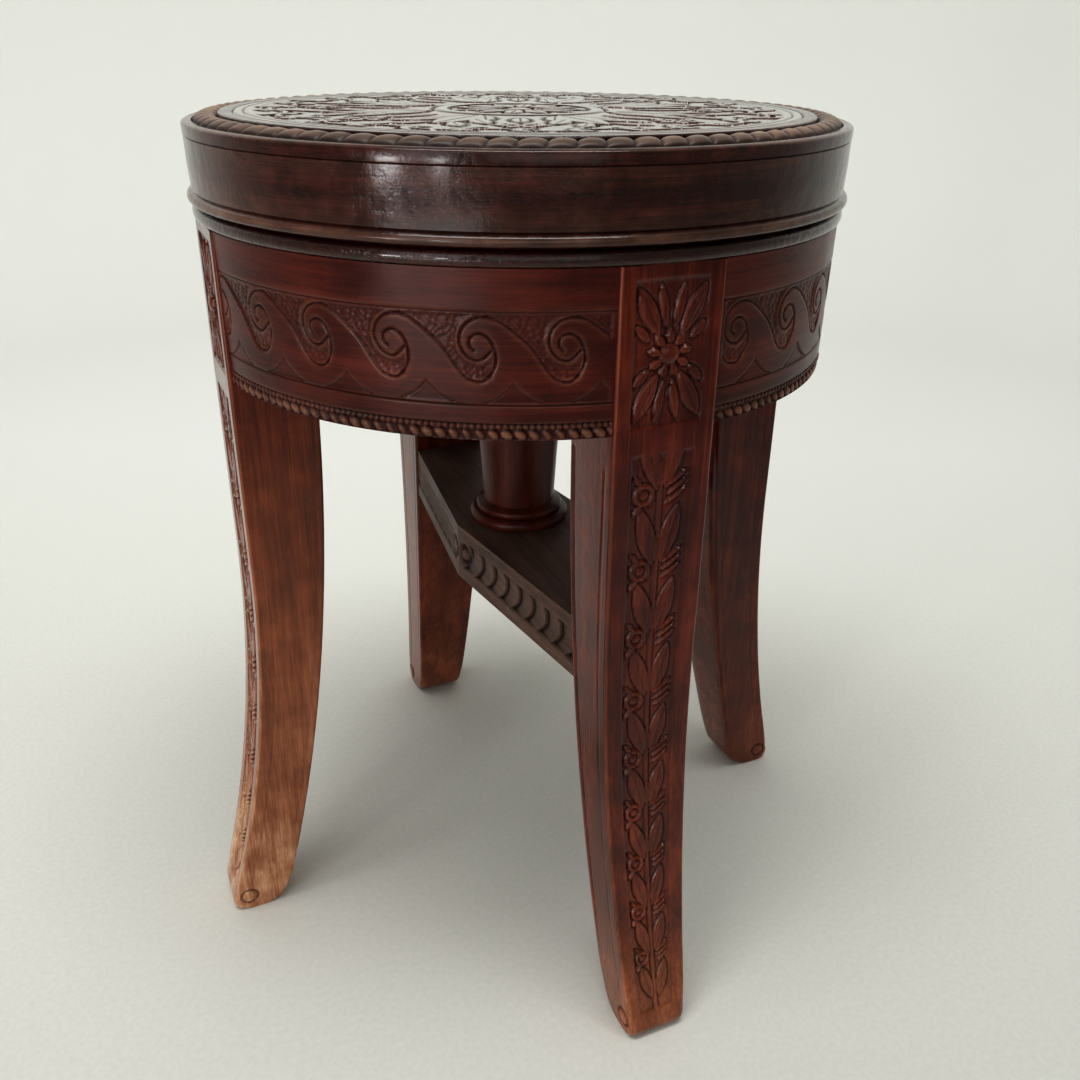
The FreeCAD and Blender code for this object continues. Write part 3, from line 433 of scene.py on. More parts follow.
def carved_sheet(name, columns, rows, shape, dirty_at=0.55, rubbed_at=0.9):
    """A grid bent and carved by shape(s, t). Cuts of one depth are dirty, forms of one height rubbed."""
    bm = bmesh.new()
    bmesh.ops.create_grid(bm, x_segments=columns, y_segments=rows, size=0.5)
    mesh = mesh_from(bm, name)
    flat = np.empty(len(mesh.vertices) * 3, np.float32)
    mesh.vertices.foreach_get("co", flat)
    s, t = flat.reshape(-1, 3)[:, :2].T.astype(float) + 0.5
    places, height, wear = shape(s, t)
    column = np.rint(s * columns).astype(int)
    row = np.rint(t * rows).astype(int)
    relief = np.zeros((rows + 1, columns + 1))
    relief[row, column] = height
    above = (relief - softened(relief, SURROUNDINGS))[row, column]
    values = {"cavity": np.clip(-above / dirty_at, 0, 1),
              "wear": np.clip(wear + above / rubbed_at, 0, 1)}
    for word, value in values.items():
        mesh.attributes.new(word, "FLOAT", "POINT").data.foreach_set("value", value.astype(np.float32))
    mesh.vertices.foreach_set("co", (places * MM).astype(np.float32).ravel())
    bm = bmesh.new()
    bm.from_mesh(mesh)
    bmesh.ops.remove_doubles(bm, verts=bm.verts, dist=WELD * MM)
    rims = [edge for edge in bm.edges if edge.is_boundary]
    bmesh.ops.holes_fill(bm, edges=rims, sides=0)
    bmesh.ops.recalc_face_normals(bm, faces=bm.faces)
    bm.to_mesh(mesh)
    bm.free()
    return mesh


def add_piece(name, mesh, material, body, replaced=(), crease=50.0):
    """Show a mesh as a piece of the stool, riding on a body."""
    piece = bpy.data.objects.new(name, mesh)
    bpy.context.scene.collection.objects.link(piece)
    mesh.materials.append(material)
    mesh.shade_smooth()
    mesh.set_sharp_from_angle(angle=math.radians(crease))
    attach(piece, body)
    if replaced:
        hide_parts(*replaced)


def turned_copy(mesh, degrees):
    """A copy of a mesh turned about the stool's axis."""
    copy = mesh.copy()
    copy.transform(Matrix.Rotation(math.radians(degrees), 4, "Z"))
    return copy


spike = np.zeros((21, 21))
spike[10, 10] = 1.0
print(f"a spike of 1 mm softens to {softened(spike, SURROUNDINGS)[10, 10]:.2f} mm")

# %% [markdown]
# ## The form of a sabre leg
# Seen from the side a sabre leg is straight at the drum and then sweeps outwards in one arc. Seen
# from the front it narrows to the foot along another. It could be cut from a block with two outlines,
# but then the carving would have no even grid to stand on. So the sheet is wrapped round the leg's
# section, a rectangle with softened corners, starting in the middle of the inner face. Knocks and wear
# have rounded the corners more at the foot. A stop of the walk names its columns, its place across and
# outwards as a share of the section, and the way it faces in degrees.

# %% Leg outlines and the walk round its section
CORNER = 1.6
FOOT_CORNER = 4.6
FOOT_KNOCKS = (32.0, 2.0)
LEG_ROWS = 520
WALK = ((3, 0, -1, 270), (3, -1, -1, 270), (38, -1, -1, 180), (4, -1, 1, 180), (74, -1, 1, 90),
        (4, 1, 1, 90), (38, 1, 1, 0), (3, 1, -1, 0), (3, 1, -1, -90))
WALK_END = (0, -1, -90)
LEG_COLUMNS = sum(stop[0] for stop in WALK)


def swept(height, bend, kick):
    """How far an arc has left a vertical line, below the height where it bends."""
    radius = (bend ** 2 + kick ** 2) / (2 * kick)
    drop = np.clip(bend - height, 0, None)
    return radius - np.sqrt(radius ** 2 - drop ** 2)


def rounded_off(height, radius):
    """How far a rounded lower edge has drawn in at a height."""
    drop = np.clip(radius - height, 0, radius)
    return radius - np.sqrt(radius ** 2 - drop ** 2)


def leg_outlines(height):
    """Outer face, inner face and half width of a leg at a height."""
    outer = LEG_OUTER + swept(height, OUTER_BEND, TOE_KICK) - rounded_off(height, TOE_ROUND)
    inner = LEG_INNER + swept(height, INNER_BEND, HEEL_KICK) + rounded_off(height, HEEL_ROUND)
    half = LEG_HALF - swept(height, TAPER_TOP, LEG_HALF - FOOT_HALF)
    return outer, inner, half


toe, heel, foot_half = (float(value) for value in leg_outlines(np.array(TOE_ROUND)))
print(f"foot runs from {heel:.1f} to {toe:.1f} mm from the axis and is {2 * foot_half:.1f} mm wide")

# %% [markdown]
# ## The carving on a leg's face
# A sunk panel runs down the leg. A stem climbs its middle and, at each joint, carries a round bud on
# one side and three small petals on the other, with a pair of long pointed leaves between joints.
# The joints come closer together towards the foot. Above, level with the apron, a second panel
# holds one open flower with a ball at its heart and leaves that reach into the corners. Each leaf could
# be an object of its own, but then all would have to be joined. Here the highest form wins at every
# point, as it does in wood that a carver leaves standing.

# %% Vine panel and flower panel
VINE_BOTTOM = 16.0
VINE_TOP = 354.0
VINE_LENGTH = VINE_TOP - VINE_BOTTOM
VINE_HALF = 17.3
VINE_FOOT_HALF = 11.6
VINE_JOINTS = 9
FIRST_JOINT = 0.065
FIRST_GAP = 0.1213
GAP_STEP = 0.0048
STEM_RISE = 1.2
LEAF_RISE = 1.6
BUD_RISE = 1.6
BUD_HEART = 1.2
SEPAL_RISE = 1.8
PETAL_RISE = 2.1
FLOWER_BOTTOM = 367.0
FLOWER_TOP = 436.5
FLOWER_TALL = (FLOWER_TOP - FLOWER_BOTTOM) / 2
FLOWER_HALF = 19.5
FLOWER_PETALS = 9
FLOWER_HEART = (5.4, 3.2)
# Leaves of one corner: foot, tip, width, rise, depth of the vein and the part that isn't domed
CORNER_LEAVES = (((5.5, 8.0), (FLOWER_HALF - 2.0, FLOWER_TALL - 3.0), 9.5, 2.0, 0.8, 0.35),
                 ((2.2, 11.0), (6.0, FLOWER_TALL - 1.5), 5.6, 1.9, 0.5, 0.4),
                 ((10.0, 6.0), (FLOWER_HALF - 1.0, 14.5), 5.2, 1.9, 0.5, 0.4))
SUNK = 1.6
LEG_GROUND = 0.9
PROUD = 1.6
LEG_CUT = 1.1
PANEL_SLOPE = 1.3
GOUGE_DEPTH = 0.08
GOUGE_WIDTH = 1.5


def vine_joint(number):
    """Height of a joint of the stem, the gap below it and the half width of the panel there."""
    drop = FIRST_JOINT + FIRST_GAP * number - GAP_STEP * number * (number - 1) / 2
    room = VINE_HALF - (VINE_HALF - VINE_FOOT_HALF) * drop ** 2
    return VINE_TOP - VINE_LENGTH * drop, VINE_LENGTH * (FIRST_GAP - GAP_STEP * number), room


def vine_relief(x, z, spare):
    """Height of stem, leaves and buds over the deepest cuts, in shares of a joint's gap and room."""
    relief = STEM_RISE * ramp_between(1.6 + spare, 0.6 + spare, np.abs(x))
    for number in range(-1, VINE_JOINTS):
        joint, gap, room = vine_joint(number)
        near = np.abs(z - joint) < gap * 1.1
        px, pz = x[near], z[near]
        parts = [relief[near]]
        for side in (-1, 1):
            foot = (side * 2.0, joint - 0.95 * gap)
            tip = (side * 0.62 * room, joint - 0.13 * gap)
            parts.append(leaf(px, pz, foot, tip, 0.60 * room, LEAF_RISE, 0.6, spare, 0.65))
        bud = (-0.52 * room, joint + 0.02 * gap)
        reach = np.hypot(px - bud[0], pz - bud[1])
        rim = ramp_between(0.38 * room + spare, 0.30 * room + spare, reach)
        parts.append(BUD_RISE * rim * ramp_between(0.17 * room - spare, 0.25 * room - spare, reach))
        parts.append(ball(px, pz, bud, 0.17 * room, BUD_HEART))
        for end in (-1, 1):
            foot = (bud[0] - 0.1 * room, bud[1] + end * 0.26 * room)
            tip = (bud[0] - 0.34 * room, bud[1] + end * 0.62 * room)
            parts.append(leaf(px, pz, foot, tip, 0.22 * room, SEPAL_RISE, 0.0, spare, 0.3))
        for step in range(3):
            low = joint + (0.11 * step - 0.14) * gap
            tip = (0.82 * room, low + 0.22 * gap)
            parts.append(leaf(px, pz, (0.12 * room, low), tip, 0.22 * room, PETAL_RISE, 0.0, spare, 0.3))
        relief[near] = np.max(parts, axis=0)
    return relief


def flower_relief(x, z, spare):
    """A flower with a ball heart, and leaves into the corners of its panel."""
    y = z - (FLOWER_BOTTOM + FLOWER_TOP) / 2
    parts = [np.zeros_like(x)]
    for mirror in ((-1, -1), (-1, 1), (1, -1), (1, 1)):
        for foot, tip, width, rise, vein, flat in CORNER_LEAVES:
            foot, tip = np.multiply(mirror, foot), np.multiply(mirror, tip)
            parts.append(leaf(x, y, foot, tip, width, rise, vein, spare, flat))
    for petal in range(FLOWER_PETALS):
        turn = math.radians(360 / FLOWER_PETALS * petal + 10)
        away = np.array([math.cos(turn), math.sin(turn)])
        parts.append(leaf(x, y, away * 4.2, away * 12.0, 5.2, 2.3, 0.6, spare, 0.3))
    parts.append(ball(x, y, (0, 0), *FLOWER_HEART))
    return np.max(parts, axis=0)


def panel_inside(x, z, half, bottom, top):
    """Distance in from the nearest edge of an upright panel."""
    return np.minimum(half - np.abs(x), np.minimum(z - bottom, top - z))


def face_carving(x, z):
    """Carving height on the outer face of a leg, 0 on the face itself."""
    vine_half = VINE_HALF - swept(z - VINE_BOTTOM, VINE_LENGTH, VINE_HALF - VINE_FOOT_HALF)
    panels = ((panel_inside(x, z, vine_half, VINE_BOTTOM, VINE_TOP), vine_relief),
              (panel_inside(x, z, FLOWER_HALF, FLOWER_BOTTOM, FLOWER_TOP), flower_relief))
    height = np.zeros_like(x)
    for inside, draw in panels:
        zone = inside > 0
        px, pz = x[zone], z[zone]
        carved = outlined(draw, px, pz, SUNK, LEG_GROUND, LEG_CUT)
        carved = carved + GOUGE_DEPTH * tool_marks(px, pz, GOUGE_WIDTH)
        height[zone] = np.minimum(carved, PROUD) * ramp_between(0.0, PANEL_SLOPE, inside[zone])
    return height


print("joints of the vine at", [round(vine_joint(number)[0]) for number in range(VINE_JOINTS)], "mm")

# %% [markdown]
# ## The four legs
# The sides of a leg are plain but for a faint line near each edge, and the front leg has a deep one at
# its inner edge. At the toe, which is rounded, a small domed disc stands in a ring, the eye of a
# scroll. Feet and edges are rubbed pale. Four legs could be carved one by one, but they are alike, so
# two sheets are enough, one of them with the deep line. Copies are turned into place, and each is then
# paled by its own amount, partly real wear and partly painted light: the left leg, which faces the
# window light, is painted the palest and the right leg the darkest.

# %% Legs
# A cut is given by its width and depth, and a fade by the heights where it starts and ends
LINE_TOP = 348.0
LINE_FADE = 3.0
OUTER_INSET = 8.5
OUTER_CUT = (2.2, 0.3)
INNER_INSET = 4.8
INNER_WIDTH = 3.0
INNER_DEPTHS = {"plain": 0.25, "front": 1.4}
INNER_FADE = (30.0, 90.0)
VOLUTE_RADIUS = 5.4
VOLUTE_INSET = 9.3
VOLUTE_HEIGHT = 10.5
VOLUTE_CUT = (2.8, 1.2)
VOLUTE_RISE = 0.7
EDGE_WEAR = 0.2
LOW_WEAR = 0.12
LOW_WEAR_SPAN = (270.0, 60.0)
DEEP_CUT = -1.0
DEEP_WEAR = 0.4
# For each leg, how far its whole length and its foot are paled: partly real wear, partly painted light
# that makes the leg facing the window the palest
LEG_WEAR_AND_LIGHT = {"right": (0.0, 0.14), "back": (0.10, 0.20), "left": (0.52, 1.0), "front": (0.02, 0.42)}
FULLY_PALED = 0.3 * LEG_TOP
FOOT_PALING = (90.0, 4.0)
EDGE_GAIN = 1.5


def side_carving(out, z, outer, inner, depth):
    """Cut lines and the scroll's eye on the side of a leg. depth is that of the inner line."""
    below = ramp_between(LINE_TOP, LINE_TOP - LINE_FADE, z)
    eye_out = float(leg_outlines(np.array(VOLUTE_HEIGHT))[0]) - VOLUTE_INSET
    reach = np.hypot(out - eye_out, z - VOLUTE_HEIGHT)
    above_eye = ramp_between(VOLUTE_HEIGHT + 4.0, VOLUTE_HEIGHT + 12.0, z)
    outer_line = groove(np.abs(outer - out - OUTER_INSET), *OUTER_CUT) * below * above_eye
    inner_line = groove(np.abs(out - inner - INNER_INSET), INNER_WIDTH, depth)
    inner_line = inner_line * below * ramp_between(*INNER_FADE, z)
    ring = groove(np.abs(reach - VOLUTE_RADIUS), *VOLUTE_CUT)
    dome = ball(out, z, (eye_out, VOLUTE_HEIGHT), VOLUTE_RADIUS - 1.0, VOLUTE_RISE)
    return np.minimum(np.minimum(outer_line, inner_line), ring) + dome


def leg_shape(s, t, depth):
    """Where the sheet goes on a leg that stands to the right. depth is that of the inner line."""
    starts = np.cumsum([0] + [stop[0] for stop in WALK]) / LEG_COLUMNS
    stations = np.array([stop[1:] for stop in WALK] + [WALK_END], float)
    across, outwards, facing = (np.interp(s, starts, station) for station in stations.T)
    z = t * LEG_TOP
    outer, inner, half = leg_outlines(z)
    turn = np.radians(facing)
    corner = CORNER + (FOOT_CORNER - CORNER) * ramp_between(*FOOT_KNOCKS, z)
    y = across * (half - corner) + corner * np.cos(turn)
    out = (outer + inner) / 2 + outwards * ((outer - inner) / 2 - corner) + corner * np.sin(turn)
    on_face = np.abs(facing - 90.0) < 0.5
    on_side = np.abs(np.cos(turn)) > 0.9999
    height = np.zeros_like(s)
    height[on_face] = face_carving(y[on_face], z[on_face])
    height[on_side] = side_carving(out[on_side], z[on_side], outer[on_side], inner[on_side], depth)
    out = out + np.where(on_face, height, 0.0)
    y = y + np.where(on_side, np.sign(across) * height, 0.0)
    edge = (np.abs(np.cos(turn)) < 0.98) & (np.abs(np.sin(turn)) < 0.98) & (outwards > 0)
    wear = np.where(edge, EDGE_WEAR, 0.0) + LOW_WEAR * ramp_between(*LOW_WEAR_SPAN, z)
    return np.column_stack([out, y, z]), height, wear * np.where(height > DEEP_CUT, 1.0, DEEP_WEAR)


def paled_by_wear_and_light(mesh, amount, foot):
    """Raise a leg's wear by one amount from its top down and another at its foot, partly painted light."""
    count = len(mesh.vertices)
    wear, places = np.empty(count, np.float32), np.empty(count * 3, np.float32)
    mesh.attributes["wear"].data.foreach_get("value", wear)
    mesh.vertices.foreach_get("co", places)
    z = places[2::3] / MM
    body = amount * ramp_between(LEG_TOP, FULLY_PALED, z)
    wear = np.clip(wear * (1.0 + EDGE_GAIN * body) + body + foot * ramp_between(*FOOT_PALING, z), 0, 1)
    mesh.attributes["wear"].data.foreach_set("value", wear.astype(np.float32))


leg_meshes = {}
for kind, depth in INNER_DEPTHS.items():
    shape = partial(leg_shape, depth=depth)
    leg_meshes[kind] = carved_sheet("leg", LEG_COLUMNS, LEG_ROWS, shape, dirty_at=1.2, rubbed_at=10.0)
# Each leg is paled by its own amount: rubbed feet are real wear, the rest of the difference is painted light
for side, turn in LEG_TURNS.items():
    leg_mesh = turned_copy(leg_meshes.get(side, leg_meshes["plain"]), turn)
    paled_by_wear_and_light(leg_mesh, *LEG_WEAR_AND_LIGHT[side])
    add_piece(f"carved_leg_{side}", leg_mesh, leg_wood, "base", [f"leg_{side}"])
print(f"four legs of {len(leg_mesh.polygons)} faces")

# %% [markdown]
# ## The apron's running scroll
# Each apron panel carries a row of six curling waves between two cut lines. One cut line makes a
# whole wave: it starts under the curl, goes round it, over the crest, down into the next trough and
# up into the next curl, where it winds round a small disc. The ground above each wave is cut back
# and left rough. Under the waves hangs a row of scallops, and the lower edge is beaded. A drawing of
# the scroll could be embossed, but a smooth line through a few points gives a clean cut. The points are
# measured from the wave's eye.

# %% Scroll line and panel carving
apron_low = box_mm("apron_back_right")[0]
APRON_BOTTOM = apron_low[2]
APRON_TOP_RADIUS = 177.5
APRON_BOTTOM_RADIUS = 176.0
PANEL_END = apron_low[0]
# For each panel, how far it is turned about the axis and where its first wave stands, in degrees
PANEL_STARTS = {"back_right": (0.0, 11.0), "back_left": (90.0, 10.4), "front_left": (180.0, 9.5),
                "front_right": (270.0, 12.2)}
SCROLLS = 6
SCROLL_PITCH = 12.9
EYE_HEIGHT = 410.0
EYE_RADIUS = 3.2
EYE_RISE = 0.4
SCROLL_CUT = (1.9, 1.1)
HEAD_REACH = 9.4
CREST = 12.0
TROUGH = -17.0
ROUGH_DEPTH = 0.65
ROUGH_MARKS = (0.35, 1.3)
UPPER_LINE = 423.6
LOWER_LINE = 381.4
LINE_CUT = (1.4, 0.7)
PITCH_MM = math.radians(SCROLL_PITCH) * APRON_TOP_RADIUS
CUSP_HEIGHT = 392.0
SWAG_RISE = CUSP_HEIGHT - LOWER_LINE
SWAG_RADIUS = (PITCH_MM ** 2 / 4 + SWAG_RISE ** 2) / (2 * SWAG_RISE)
SWAG_SHIFT = 4.0
SWAG_CUT = (1.5, 0.7)
SWAG_DEPTH = 0.35
HEAD = ((6.6, -3.0), (1.0, -7.8), (-4.6, -6.2), (-8.0, -0.5), (-7.2, 5.6), (-3.2, 10.0), (3.0, 11.6),
        (9.6, 9.8), (17.0, 4.6))
TAIL = ((-15.8, -2.0), (-7.6, -13.6), (-2.4, -17.3), (3.4, -16.8), (7.8, -10.0), (7.7, -3.0), (4.8, 2.4),
        (0.6, 4.3), (-3.2, 2.4), (-3.6, -1.2), (-1.6, -3.4))
SCROLL_LINE = flowing(list(HEAD) + [(x + PITCH_MM, z) for x, z in TAIL])
S_LINE = flowing(HEAD[6:] + tuple((x + PITCH_MM, z) for x, z in TAIL[:3]))


def scroll_carving(x, z):
    """Cut, rough ground and disc of one wave, with x measured from its eye to the right."""
    cut = groove(distance_to(x, z, SCROLL_LINE), *SCROLL_CUT)
    crest_line = np.interp(x, S_LINE[:, 0], S_LINE[:, 1], left=CREST, right=TROUGH)
    next_head = np.hypot(x - PITCH_MM - 0.2, (z - 1.4) * 0.92)
    sides = np.minimum(x - 1.0, PITCH_MM + 7.0 - x)
    above = np.minimum(np.minimum(z - crest_line, next_head - HEAD_REACH), sides)
    marks = 1 + ROUGH_MARKS[0] * tool_marks(x, z, ROUGH_MARKS[1])
    rough = ROUGH_DEPTH * ramp_between(0.0, 2.0, above) * marks
    disc = EYE_RISE * ramp_between(EYE_RADIUS, EYE_RADIUS - 0.8, np.hypot(x, z))
    return cut, rough, disc


def apron_carving(turn, z, first):
    """Carving height on a panel at an angle from its left end, seen from outside, and a height."""
    height = np.zeros_like(z)
    sunk = np.zeros_like(z)
    field = ramp_between(LOWER_LINE + 0.5, LOWER_LINE + 1.5, z)
    field = field * ramp_between(UPPER_LINE - 0.5, UPPER_LINE - 1.5, z)
    for number in range(-1, SCROLLS + 1):
        x = np.radians(turn - first - SCROLL_PITCH * number) * APRON_TOP_RADIUS
        near = (np.abs(x - PITCH_MM / 2) < PITCH_MM) & (field > 0)
        cut, rough, disc = scroll_carving(x[near], z[near] - EYE_HEIGHT)
        height[near] = np.minimum(height[near], cut) + disc
        sunk[near] = np.maximum(sunk[near], rough)
        middle = x + SWAG_SHIFT
        within = np.abs(middle) <= PITCH_MM / 2
        arc = LOWER_LINE + SWAG_RADIUS - np.sqrt(np.maximum(SWAG_RADIUS ** 2 - middle ** 2, 0))
        height[within] = np.minimum(height[within], groove(np.abs(z - arc)[within], *SWAG_CUT))
        under = ramp_between(0.0, 1.6, arc - z)
        sunk[within] = np.maximum(sunk[within], SWAG_DEPTH * under[within])
    margin = np.minimum(turn - turn.min(), turn.max() - turn) * math.radians(1) * APRON_TOP_RADIUS
    field = field * ramp_between(2.0, 3.2, margin)
    carved = (height - sunk) * field
    lines = [groove(np.abs(z - line), *LINE_CUT) for line in (UPPER_LINE, LOWER_LINE)]
    return np.min([carved, *lines], axis=0)


print(f"a wave is {PITCH_MM:.1f} mm long and its cut line has {len(SCROLL_LINE)} points")

# %% [markdown]
# ## The four apron panels
# A panel is part of a ring between two legs. The sheet's columns run along the panel and its rows
# walk round the section: up the carved face, over the top, down the plain back and under. The two
# ends lie flat against the legs, so the angle that a column stands at depends on its radius. A flat
# board could be carved and then bent, but that would stretch the beads, so the sheet is written
# straight onto the ring.

# %% Apron panels
APRON_COLUMNS = 340
FACE_ROWS = 112
BACK_ROWS = 8
APRON_INNER = 154.5
BAND_HEIGHT = 8.2
BEAD_PITCH = 3.1
BEAD_SUNK = 1.3
BEAD_WEAR = 0.28
BIG_BEAD = 2.6
BIG_RISE = 1.7
BIG_LEAN = 0.45
BIG_UNEVEN = 0.22
SMALL_BEAD = 1.7
SMALL_RISE = 1.2
SMALL_HEIGHT = 6.3


def edge_beads(along, z):
    """Two rows of beads along the lower edge: worn beads below and smaller ones above."""
    up = z - APRON_BOTTOM
    shift = np.abs((along / BEAD_PITCH) % 1 - 0.5) * BEAD_PITCH
    place = (along + BIG_LEAN * up) / (2 * BEAD_PITCH)
    lean = np.abs(place % 1 - 0.5) * 2 * BEAD_PITCH
    uneven = 1 + BIG_UNEVEN * np.sin(7.3 * np.floor(place))
    big_reach = (lean / (BIG_BEAD * uneven)) ** 2 + ((up - BIG_BEAD) / BIG_BEAD) ** 2
    small_reach = (shift / SMALL_BEAD) ** 2 + ((up - SMALL_HEIGHT) / SMALL_BEAD) ** 2
    big = BIG_RISE * uneven * np.sqrt(np.clip(1 - big_reach, 0, 1))
    small = SMALL_RISE * np.sqrt(np.clip(1 - small_reach, 0, 1))
    return np.maximum(big, small) - BEAD_SUNK


def apron_shape(s, t, first):
    """Where the sheet goes on a panel whose first wave stands at an angle from its left leg."""
    rows = t * (FACE_ROWS + BACK_ROWS)
    stops = (0, FACE_ROWS, FACE_ROWS + 2, FACE_ROWS + 6, FACE_ROWS + BACK_ROWS)
    z = np.interp(rows, stops, (APRON_BOTTOM, LEG_TOP, LEG_TOP, APRON_BOTTOM, APRON_BOTTOM))
    radius = np.interp(rows, stops, (APRON_BOTTOM_RADIUS, APRON_TOP_RADIUS, APRON_INNER, APRON_INNER,
                                     APRON_BOTTOM_RADIUS))
    on_face = rows < FACE_ROWS - 0.5
    end = np.degrees(np.arcsin(PANEL_END / radius))
    turn = end + s * (90 - 2 * end)
    angle = np.radians(turn)
    height = np.where(on_face, apron_carving(turn, z, first), 0.0)
    band = on_face & (z < APRON_BOTTOM + BAND_HEIGHT)
    beads = edge_beads(angle * APRON_BOTTOM_RADIUS, z)
    height = np.where(band, beads, height)
    fade = ramp_between(0.0, 1.2, z - APRON_BOTTOM)
    radius = radius + height * np.where(band, fade, 1.0)
    wear = np.where(band, BEAD_WEAR * ramp_between(-0.6, 0.7, beads), 0.0)
    return np.column_stack([radius * np.cos(angle), radius * np.sin(angle), z]), height, wear


for side, (turn, first) in PANEL_STARTS.items():
    shape = partial(apron_shape, first=first)
    panel_mesh = carved_sheet("apron", APRON_COLUMNS, FACE_ROWS + BACK_ROWS, shape,
                              dirty_at=0.9, rubbed_at=1.5)
    panel_mesh.transform(Matrix.Rotation(math.radians(turn), 4, "Z"))
    add_piece(f"carved_apron_{side}", panel_mesh, apron_wood, "base", [f"apron_{side}"])
print(f"four panels of {len(panel_mesh.polygons)} faces")

# %% [markdown]
# ## Turned pieces
# The drum top, the seat hoop and the column come off a lathe, so each is a profile spun once round
# the axis with bmesh.ops.spin. Stacked cylinders could stand for them, but a profile is what a turner
# works from. It is a list of corners, and a bulge between two corners turns the straight run into an
# arc that stands out, as a half-round moulding does.

# %% Profile and lathe helpers
LATHE_STEPS = 240
LATHE_WELD = 0.01
ARC_POINTS = 9


def profile_points(corners):
    """Points of a profile. A corner is (radius, height) or (radius, height, bulge) for an arc to it."""
    points = []
    for index, (radius, height, *bulge) in enumerate(corners):
        end = np.array([radius, height])
        if bulge:
            start = np.array(corners[index - 1][:2])
            run = end - start
            outward = np.array([run[1], -run[0]]) / np.hypot(*run)
            for share in np.linspace(0, 1, ARC_POINTS + 1)[1:-1]:
                lift = bulge[0] * math.sqrt(1 - (2 * share - 1) ** 2)
                points.append(start + run * share + outward * lift)
        points.append(end)
    return points


def spun(name, corners, steps=LATHE_STEPS):
    """A profile spun once round the stool's axis."""
    bm = bmesh.new()
    verts = [bm.verts.new((radius * MM, 0, height * MM)) for radius, height in profile_points(corners)]
    edges = [bm.edges.new(pair) for pair in zip(verts, verts[1:] + verts[:1])]
    bmesh.ops.spin(bm, geom=verts + edges, cent=(0, 0, 0), axis=(0, 0, 1), angle=math.tau, steps=steps,
                   use_merge=True)
    bmesh.ops.remove_doubles(bm, verts=bm.verts, dist=LATHE_WELD * MM)
    bmesh.ops.recalc_face_normals(bm, faces=bm.faces)
    return mesh_from(bm, name)


def rubbed_and_lit(mesh, bands):
    """Store patchy wear and painted highlight outside a turned piece. A band is (height, half width, amount).
    """
    places = np.empty(len(mesh.vertices) * 3, np.float32)
    mesh.vertices.foreach_get("co", places)
    x, y, z = places.reshape(-1, 3).T.astype(float) / MM
    wear = np.zeros_like(z)
    for height, half, amount in bands:
        wear = np.maximum(wear, amount * ramp_between(half, 0.0, np.abs(z - height)))
    turn, reach = np.arctan2(y, x), np.hypot(x, y)
    wear *= 0.75 + 0.25 * np.sin(turn * 23 + 2 * np.sin(turn * 7))
    wear[reach < 0.9 * reach.max()] = 0.0
    mesh.attributes.new("wear", "FLOAT", "POINT").data.foreach_set("value", wear.astype(np.float32))


half_round = profile_points([(10, 0), (10, 5, 2), (8, 5), (8, 0)])
print("a half-round of four corners has", len(half_round), "points")

# %% [markdown]
# ## The drum top
# Only the drum top's edge shows while the seat is down: a dark, glossy half-round moulding. A ring
# could stand for that, but the upper face comes into view as the seat rises, so the top is spun whole,
# with the bore for the nut.

# %% Drum top
top_low, top_high = box_mm("drum_top")
DRUM_TOP = top_high[2]
RIM_RADIUS = 179.2
RIM_BULGE = 2.4
NUT_BODY = 23.1
BOSS_RADIUS = 129.7
drum_mesh = spun("drum_top", [
    (NUT_BODY, top_low[2]), (BOSS_RADIUS, top_low[2]), (BOSS_RADIUS, LEG_TOP),
    (RIM_RADIUS - RIM_BULGE, LEG_TOP), (RIM_RADIUS - RIM_BULGE, DRUM_TOP, RIM_BULGE), (NUT_BODY, DRUM_TOP)])
add_piece("turned_drum_top", drum_mesh, rim_wood, "base", ["drum_top"], crease=35.0)
print(f"drum top {2 * RIM_RADIUS:.1f} mm across")

# %% [markdown]
# ## The seat hoop
# The hoop is a deep turned ring: a bead at the bottom, a tall plain band, a thin groove and a nosing
# above it. The bead, the foot of the band and the nosing are paler than the rest, partly from knocks
# and rubbing and partly as painted light: a painted highlight on the bead and nosing, a painted sheen on
# the band's foot. A hollow in its top is left for the rope border. The mouldings could be separate
# rings, but one profile spun once has no gaps, and fractions of a millimetre ease its corners so that
# they catch the light.

